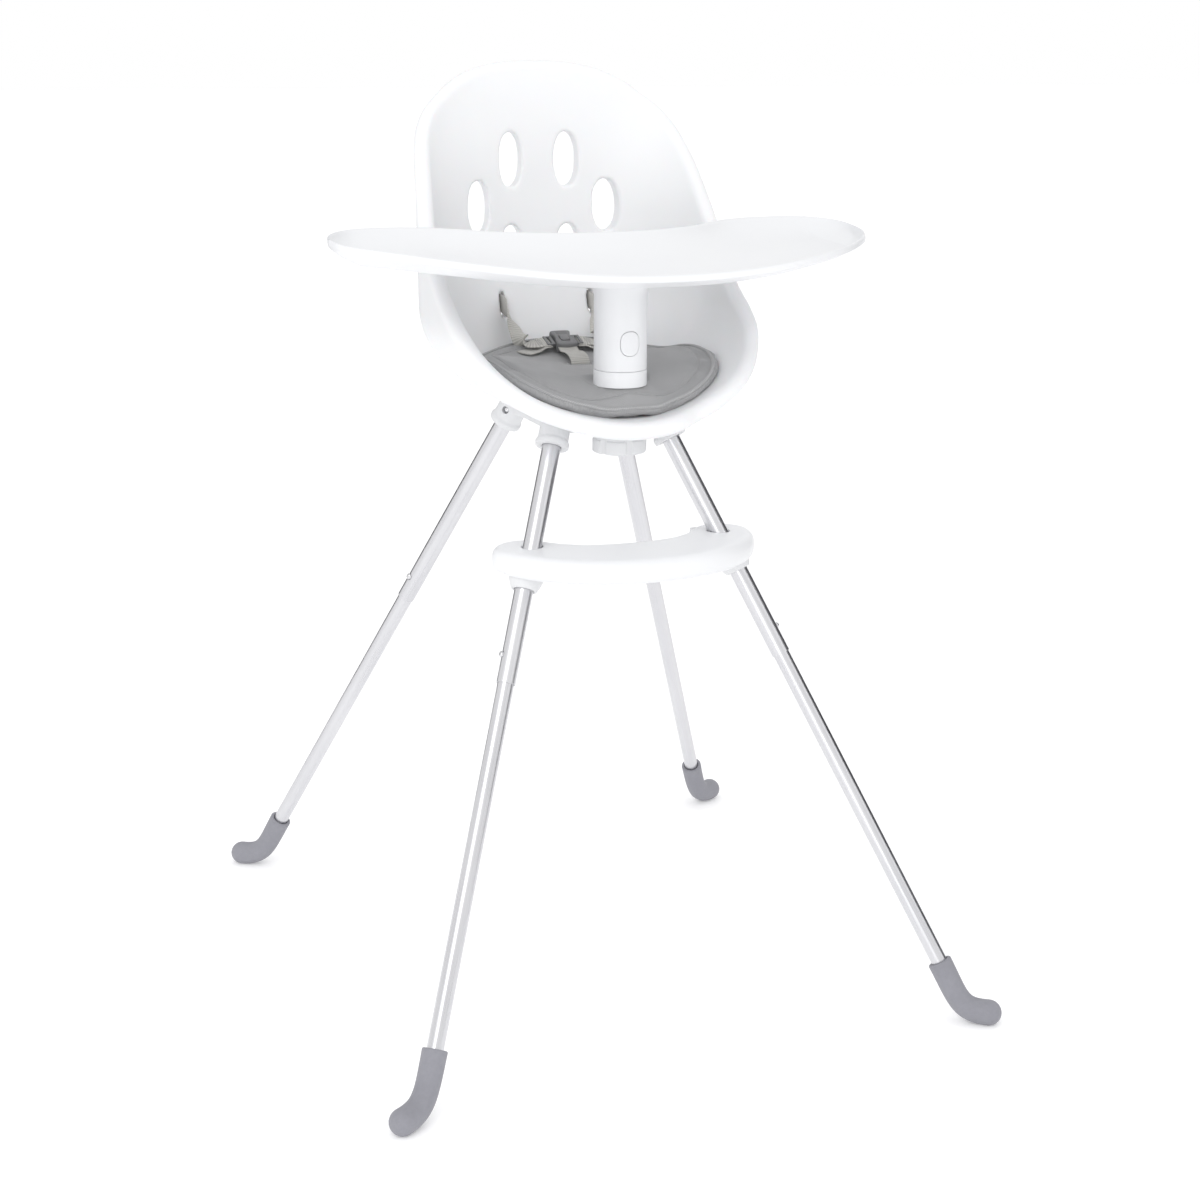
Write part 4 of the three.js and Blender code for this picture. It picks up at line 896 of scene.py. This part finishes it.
for sx in (-1, 1):
    holes.append(lathe("c", leg_top(sx, -1), leg_axis(sx, -1), [(60, UPPER_R + 0.9), (190, UPPER_R + 0.9)], 64))
cut(rest, holes)
remesh(rest, 0.0013, 3)
finish_piece(rest, "tray_plastic", "chair", "tray_plastic", "footrest")
for tag, sx in (("left", -1), ("right", 1)):
    top, u = leg_top(sx, -1), leg_axis(sx, -1)
    at_b = (LEG_TOP[2] - FR_BOTTOM) / -u[2]
    prof = rounded([(at_b - 14, 17.8), (at_b + 2, 17.6), (at_b + 7, 17.0), (at_b + 14, 14.2), (at_b + 17, 12.8), (at_b + 17, UPPER_R + 0.4), (at_b + 3, UPPER_R + 0.4)], 1.4, 4)
    co = lathe(f"footrest_grip_{tag}", top, u, prof, 72)
    finish_piece(co, "base_plastic", "chair", "base_plastic", f"footrest_collar_{tag}")

# ------------------------------------------------------------------ seat pad
PH = [(0, -141), (28, -138), (55, -129), (80, -118), (101, -104), (116, -84), (124, -56), (126.5, -28), (125.5, 2), (118, 33), (101, 61), (72, 84), (37, 97), (0, 101)]
edge = spaced(catmull([(x, y, 0) for x, y in PH] + [(-x, y, 0) for x, y in PH[1:-1][::-1]], True, 30), 132, True)
MID = np.array([0.0, -20.0])


def pad_xy(f):
    return MID + (edge[:, :2] - MID) * f


def pad_top(x, y, f):
    z = floor_z(x, y)
    slope = np.minimum(1.5, np.hypot(floor_z(x + 1, y) - z, floor_z(x, y + 1) - z))
    thick = 30 + (13.5 - 30) * smooth(0.5, 1, f) - 3 * smooth(110, 141, -np.asarray(y, float))
    top = z + 0.8 + thick * np.sqrt(1 + 0.6 * slope * slope)
    swell = (1 - smooth(28, 56, np.hypot(x, y - POST_Y))) * (1 - smooth(0.86, 1, f))
    return top + np.maximum(0, 638.6 - top) * swell


rings = []
for f in (0.2, 0.4, 0.6, 0.75, 0.88, 0.955):
    q = pad_xy(f)
    rings.append(np.column_stack([q, floor_z(q[:, 0], q[:, 1]) + 1.4 + 1.4 * float(smooth(0.85, 1, f))]))
q = pad_xy(0.982)
zb, zt = floor_z(q[:, 0], q[:, 1]), pad_top(q[:, 0], q[:, 1], 1.0)
for k in (0.3, 0.55, 0.8):
    rings.append(np.column_stack([q, (zb + 2.2) * (1 - k) + (zt - 2.0) * k]))
for f in (0.955, 0.88, 0.75, 0.6, 0.4, 0.2):
    q = pad_xy(f)
    rings.append(np.column_stack([q, pad_top(q[:, 0], q[:, 1], f) - 1.6]))
m0 = float(floor_z(MID[0], MID[1]))
pad = loft("seat_cushion", rings, (MID[0], MID[1], m0 + 1.4), (MID[0], MID[1], float(pad_top(MID[0], MID[1], 0)) - 1.6), deg=80)
m = pad.modifiers.new("r", "REMESH")
m.mode, m.voxel_size = "VOXEL", 0.0045
apply_all(pad)
rest_co = verts_of(pad)
cm = pad.modifiers.new("cloth", "CLOTH")
st = cm.settings
st.quality, st.mass = 4, 0.3
st.use_pressure, st.uniform_pressure_force = True, 4.0
st.effector_weights.gravity = 0.0
cm.point_cache.frame_start, cm.point_cache.frame_end = 1, 20
for fr in range(1, 21):
    scene.frame_set(fr)
dg = bpy.context.evaluated_depsgraph_get()
ev = pad.evaluated_get(dg)
new = np.empty(len(ev.data.vertices) * 3)
ev.data.vertices.foreach_get("co", new)
d = new.reshape(-1, 3) - rest_co
ln = np.linalg.norm(d, axis=1, keepdims=True)
d *= np.minimum(1, 0.0042 / np.maximum(ln, 1e-9))
pad.modifiers.clear()
pad.data.vertices.foreach_set("co", (rest_co + d).ravel())
pad.data.update()
scene.frame_set(1)
s = pad.modifiers.new("s", "SMOOTH")
s.factor, s.iterations = 0.5, 2
s = pad.modifiers.new("sub", "SUBSURF")
s.levels = s.render_levels = 1
apply_all(pad)
co = verts_of(pad) / MM
rad = np.hypot(co[:, 0], co[:, 1] - POST_Y)
# held down under the post collar, pinched where the crotch strap comes through
lim = 639.6 + 6 * smooth(28, 42, rad)
co[:, 2] = np.where(rad < 42, np.minimum(co[:, 2], lim), co[:, 2])
pin = np.exp(-(np.maximum(np.abs(co[:, 0]) - 11, 0) ** 2 + (co[:, 1] - 16) ** 2) / 60.0)
co[:, 2] -= np.where(co[:, 2] > 622, 2.4 * pin, 0)
# the sewn channel that runs round the top, inside the piped edge
CH = 0.83
ang_e = np.arctan2(edge[:, 1] - MID[1], edge[:, 0] - MID[0])
order = np.argsort(ang_e)
rad_e = np.hypot(edge[:, 0] - MID[0], edge[:, 1] - MID[1])
pang = np.arctan2(co[:, 1] - MID[1], co[:, 0] - MID[0])
frac = np.hypot(co[:, 0] - MID[0], co[:, 1] - MID[1]) / np.interp(pang, ang_e[order], rad_e[order], period=2 * math.pi)
topside = co[:, 2] > floor_z(co[:, 0], co[:, 1]) + 9.0
co[:, 2] -= np.where(topside, 1.5 * np.exp(-((frac - CH) / 0.018) ** 2), 0)
pad.data.vertices.foreach_set("co", (co * MM).ravel())
pad.data.update()
pad.data.polygons.foreach_set("use_smooth", [True] * len(pad.data.polygons))
finish_piece(pad, "pad_fabric", "chair", "pad_fabric", "seat_pad")
pad_bv = BVHTree.FromObject(pad, bpy.context.evaluated_depsgraph_get())


def on_pad(x, y, lift=0.0):
    h = pad_bv.ray_cast(Vector((x * MM, y * MM, 0.75)), Vector((0, 0, -1)))
    return (h[0].z / MM if h[0] is not None else float(pad_top(x, y, 1.0))) + lift


def sweep(name, path, radius, seg=12, closed=True, squash_z=1.0):
    P = np.asarray(path, float)
    n = len(P)
    if closed:
        T = unit(np.roll(P, -1, axis=0) - np.roll(P, 1, axis=0))
    else:
        T = unit(np.gradient(P, axis=0))
    t = np.arange(seg) * 2 * math.pi / seg
    rings = []
    for p, q in zip(P, T):
        a = unit(np.cross(q, (0, 0, 1.0)))
        b = np.cross(a, q)
        rings.append(p + radius * (np.outer(np.cos(t), a) + squash_z * np.outer(np.sin(t), b)))
    o = loft(name, rings, None if closed else P[0], None if closed else P[-1], wrap=closed, deg=80)
    d = np.concatenate([[0], np.cumsum(np.linalg.norm(np.diff(P, axis=0), axis=1))])
    base = np.repeat(d, seg) * MM
    if len(o.data.vertices) == n * seg:
        a = o.data.attributes.new("flow", "FLOAT_VECTOR", "POINT")
        a.data.foreach_set("vector", np.column_stack([base, np.tile(t, n) * radius * MM, base * 0]).ravel())
    else:
        set_flow(o, lambda c: np.column_stack([np.interp(np.arctan2(c[:, 1] - MID[1], c[:, 0] - MID[0]), np.linspace(-math.pi, math.pi, 200), np.linspace(0, 0.75, 200)), c[:, 2] * MM, c[:, 0] * 0]))
    return o


# piping sewn round the rim of the pad
path = []
for p in spaced(np.column_stack([pad_xy(0.935), np.zeros(len(edge))]), 300, True):
    path.append((p[0], p[1], on_pad(p[0], p[1], 0.4)))
path = np.array(path)
for _ in range(24):
    path[:, 2] = (np.roll(path[:, 2], 1) + path[:, 2] * 2 + np.roll(path[:, 2], -1)) / 4
piping = sweep("pad_piping_cord", path, 1.75, 14)
finish_piece(piping, pip.mat, "chair", "pad_fabric", "seat_pad")


def stitches(name, pts, length=3.0, gap=1.3, r=0.34, lift=0.1, body="chair", slot="pad_fabric", material=None, down_axis=(0, 0, 1)):
    """A row of short sewn stitches along a path."""
    poly = np.asarray(pts, float)
    s = np.concatenate([[0], np.cumsum(np.linalg.norm(np.diff(poly, axis=0), axis=1))])
    parts, p0 = [], 0.0
    up_v = np.asarray(down_axis, float)
    while p0 + length < s[-1]:
        ks = np.linspace(p0, p0 + length, 5)
        c = np.stack([np.interp(ks, s, poly[:, k]) for k in range(3)], axis=1)
        hump = np.array([-0.35, 0.22, 0.34, 0.22, -0.35])[:, None] * up_v
        c = c + hump + up_v * lift
        tg = unit(c[-1] - c[0])
        a = unit(np.cross(tg, up_v))
        b = np.cross(a, tg)
        t = np.arange(6) * math.pi / 3
        parts.append(loft_data([p + r * k * (np.outer(np.cos(t), a) + np.outer(np.sin(t), b)) for p, k in zip(c, (0.6, 1, 1, 1, 0.6))], c[0], c[-1]))
        p0 += length + gap
    o = joined(name, parts)
    return finish_piece(o, material or thr.mat, body, slot)


row = [(p[0], p[1], on_pad(p[0], p[1], 0.05)) for p in spaced(np.column_stack([pad_xy(CH), np.zeros(len(edge))]), 420, True)]
stitches("pad_topstitch", row)
slot_path = []
for p in spaced(np.array([(x, y, 0) for x, y in round_rect(14.5, 11.2, 20.8, 4.6)]), 90, True):
    slot_path.append((p[0], p[1], on_pad(p[0], p[1], 0.2)))
slot_path = np.array(slot_path)
for _ in range(3):
    slot_path[:, 2] = (np.roll(slot_path[:, 2], 1) + slot_path[:, 2] * 2 + np.roll(slot_path[:, 2], -1)) / 4
bind = sweep("pad_slot_binding", slot_path, 1.25, 10)
finish_piece(bind, pip.mat, "chair", "pad_fabric", "seat_pad")

# ------------------------------------------------------------------ harness
def ribbon(name, path, width, thick, n=90, nw=8):
    """path rows: x, y, z, wx, wy, wz - centre and width direction."""
    C = catmull([p[:3] for p in path], False, 30)
    W = catmull([p[3:] for p in path], False, 30)
    s = np.concatenate([[0], np.cumsum(np.linalg.norm(np.diff(C, axis=0), axis=1))])
    t = np.linspace(0, s[-1], n)
    C = np.stack([np.interp(t, s, C[:, k]) for k in range(3)], axis=1)
    W = np.stack([np.interp(t, s, W[:, k]) for k in range(3)], axis=1)
    T = unit(np.gradient(C, axis=0))
    W = unit(W - T * np.sum(W * T, axis=1, keepdims=True))
    N = unit(np.cross(T, W))
    rings, flow = [], []
    sec = []
    for k in range(nw + 1):
        u = -1 + 2 * k / nw
        sec.append((u, 1.0 if abs(u) < 0.99 else 0.45))
    for k in range(nw + 1):
        u = 1 - 2 * k / nw
        sec.append((u, -1.0 if abs(u) < 0.99 else -0.45))
    for i in range(n):
        rings.append([C[i] + W[i] * width / 2 * u + N[i] * (thick / 2 * v + 0.25 * math.cos(u * 1.5)) for u, v in sec])
        flow += [(u * width / 2 * MM, t[i] * MM, v * 0.001) for u, v in sec]
    v, f = loft_data(rings, C[0], C[-1])
    flow += [(0, 0, 0), (0, t[-1] * MM, 0)]
    o = from_data(name, v, f, flow, deg=60)
    return o


BZ = on_pad(0, 70, 8.4)
for tag, s in (("left", -1), ("right", 1)):
    def P(x, y, lift, w):
        return (x, y, on_pad(x, y, lift)) + tuple(w)
    path = [(s * 50.7, 139, 695, 0, 0, 1), (s * 50.7, 126, 694.8, 0, 0, 1), (s * 50.7, 113, 693.2, 0, 0.05, 1), (s * 50.2, 101, 686.5, s * 0.35, -0.35, 0.85),
            (s * 48.8, 92, 677, s * 0.75, -0.35, 0.45), (s * 47.0, 85, 668.0, s * 0.85, 0.1, 0.5), P(s * 42.0, 74, 6.0, (s * 0.5, 0.85, 0.2)),
            P(s * 31, 68.5, 6.4, (s * 0.1, 1, 0.25)), (s * 22.5, 69.5, BZ - 0.4, 0, 0.94, 0.34), (s * 16.5, 69.8, BZ, 0, 0.94, 0.34)]
    st_o = ribbon(f"waist_strap_{tag}_webbing", path, 19.0, 1.5, 120)
    finish_piece(st_o, "webbing", "chair", "webbing", f"waist_strap_{tag}")
    # the tail of the strap, doubled back through the tongue and laid on the pad
    tail = [(s * 17.5, 69.0, BZ - 1.9, 0, 0.94, 0.34), (s * 24, 67, BZ - 3.2, 0, 0.96, 0.28), P(s * 33, 63.5, 2.6, (s * 0.2, 1, 0.1)), P(s * 43, 59, 2.2, (s * 0.3, 0.95, 0.1)), P(s * 50, 54, 2.2, (s * 0.36, 0.92, 0.1))]
    tl = ribbon(f"waist_strap_{tag}_tail", tail, 18.5, 1.4, 60)
    finish_piece(tl, "webbing", "chair", "webbing", f"waist_strap_{tag}")
z0 = float(floor_z(0, 16))
cpath = [(0, 15.6, z0 + 4, 1, 0, 0), (0, 15.8, z0 + 14, 1, 0, 0), (0, 17.5, on_pad(0, 17.5, 3.5), 1, 0.05, 0), (0, 25, on_pad(0, 25, 7.5), 1, 0, 0), (0, 37, on_pad(0, 37, 8.0), 1, 0, 0), (0, 49, on_pad(0, 49, 6.0), 1, 0, 0), (0, 57.5, BZ - 3.6, 1, 0, 0)]
cs = ribbon("crotch_strap_webbing", cpath, 21.0, 1.7, 70)
finish_piece(cs, "webbing", "chair", "webbing", "crotch_strap")


def tilt(v):
    c, s_ = math.cos(math.radians(20)), math.sin(math.radians(20))
    v = np.asarray(v, float)
    return np.column_stack([v[:, 0], v[:, 1] * c - v[:, 2] * s_ + 70, v[:, 1] * s_ + v[:, 2] * c + BZ])


def block(pts, z0, z1, r=1.0):
    v, f = prism_data(pts, z0, z1, r, 3)
    return tilt(v), f


body_out = [(-10.8, -15), (10.8, -15), (11.2, -11), (10.6, -6), (9.4, -1), (9.4, 4), (10.6, 9), (11.4, 12), (10.2, 14), (-10.2, 14), (-11.4, 12), (-10.6, 9), (-9.4, 4), (-9.4, -1), (-10.6, -6), (-11.2, -11)]
bo = spaced(catmull([(x, y, 0) for x, y in body_out], True, 12), 110, True)[:, :2]
bk = joined("buckle_body_a", [block(bo, -5.4, 5.4, 2.0)])
pocket = joined("c", [block(round_rect(5.3, -9.3, 3.3, 3), 1.7, 9.0, 0.0)])
bars = [joined("c", [block(round_rect(7.0, y - 0.7, y + 0.7, 0.6), 4.8, 9.0, 0.0)]) for y in (6.4, 8.6, 10.8)]
cut(bk, [pocket] + bars)
bk.name = "buckle_housing"
remesh(bk, 0.0004, 4)
finish_piece(bk, "buckle_plastic", "chair", "buckle_plastic", "buckle")
bb = joined("buckle_press", [block(round_rect(4.9, -8.9, 2.9, 2.8), 3.4, 6.4, 1.0)])
finish_piece(bb, "buckle_plastic", "buckle_button", "buckle_plastic", "buckle_button")
for tag, s in (("left", -1), ("right", 1)):
    bars4 = []
    for xa, xb, ya, yb in ((11.0, 14.6, -9, 9), (17.4, 20.4, -9, 9), (11.0, 20.4, -9, -7.2), (11.0, 20.4, 7.2, 9)):
        x0, x1 = sorted((s * xa, s * xb))
        bars4.append(block([(x0, ya), (x1, ya), (x1, yb), (x0, yb)], -1.8, 1.8, 0.0))
    tg = joined(f"tongue_frame_{tag}", bars4)
    remesh(tg, 0.0004, 3)
    finish_piece(tg, "buckle_plastic", "chair", "buckle_plastic", f"strap_tongue_{tag}")
# bar tacks where each strap is sewn
for tag, s in (("left", -1), ("right", 1)):
    rows_ = []
    for k in range(3):
        x = s * (25.5 + k * 2.2)
        stitches(f"bar_tack_{tag}_{k}", [(x, 62.5, BZ - 1.9), (x, 69, BZ + 0.4), (x, 76, BZ + 2.7)], 1.8, 0.8, 0.25, 0.0, "chair", "webbing")

# ------------------------------------------------------------------ floor, flags and light
bpy.ops.mesh.primitive_plane_add(size=60, location=(0, 0, -0.0004))
floor = bpy.context.object
floor.name = "floor"
fn = Nodes("floor")
v = fn.coords()
nz = fn.noise(v, 3.0, 2.0)
fn.colour(nz, [(0.0, (0.93, 0.93, 0.935)), (1.0, (0.95, 0.95, 0.955))])
fn.set(Roughness=0.7, Specular_IOR_Level=0.2, Emission_Color=(1, 1, 1, 1), Emission_Strength=0.16)
floor.data.materials.append(fn.mat)


def flag(name, az_deg, dist, width, z0, z1):
    """A black card beside the object, seen only in its reflections."""
    a = math.radians(az_deg)
    c = Vector((math.sin(a) * dist, -math.cos(a) * dist, 0))
    t = Vector((math.cos(a), math.sin(a), 0)) * width / 2
    me = bpy.data.meshes.new(name)
    me.from_pydata([c - t + Vector((0, 0, z0)), c + t + Vector((0, 0, z0)), c + t + Vector((0, 0, z1)), c - t + Vector((0, 0, z1))], [], [(0, 1, 2, 3)])
    o = link(name, me)
    n = Nodes(name)
    n.set(Base_Color=(0.03, 0.03, 0.034, 1), Roughness=0.9)
    me.materials.append(n.mat)
    o.visible_camera = o.visible_diffuse = o.visible_shadow = o.visible_transmission = False
    return o


flag("flag_right", 92, 2.2, 2.6, 0.02, 2.6)
flag("flag_back", -165, 2.4, 1.7, 0.02, 2.6)

world = bpy.data.worlds.new("studio")
scene.world = world
world.use_nodes = True
bg = world.node_tree.nodes["Background"]
bg.inputs["Color"].default_value = (1.0, 1.0, 1.0, 1)
bg.inputs["Strength"].default_value = 1.0


def area(name, loc, target, size, power, size_y=None):
    d = bpy.data.lights.new(name, "AREA")
    d.energy, d.size = power, size
    if size_y:
        d.shape, d.size_y = "RECTANGLE", size_y
    o = bpy.data.objects.new(name, d)
    scene.collection.objects.link(o)
    o.location = loc
    o.rotation_euler = (Vector(target) - Vector(loc)).to_track_quat("-Z", "Y").to_euler()
    o.visible_camera = False
    return o


area("key", (-2.2, -2.4, 3.2), (0, 0.1, 0.75), 1.6, 28)
area("fill", (2.6, -1.6, 2.0), (0, 0, 0.6), 1.8, 4)
area("strip", (-1.7, -2.6, 0.9), (0, 0, 0.35), 0.35, 9, 2.0)
scene.view_settings.view_transform = "Standard"
scene.view_settings.look = "None"
scene.view_settings.exposure = 0.0
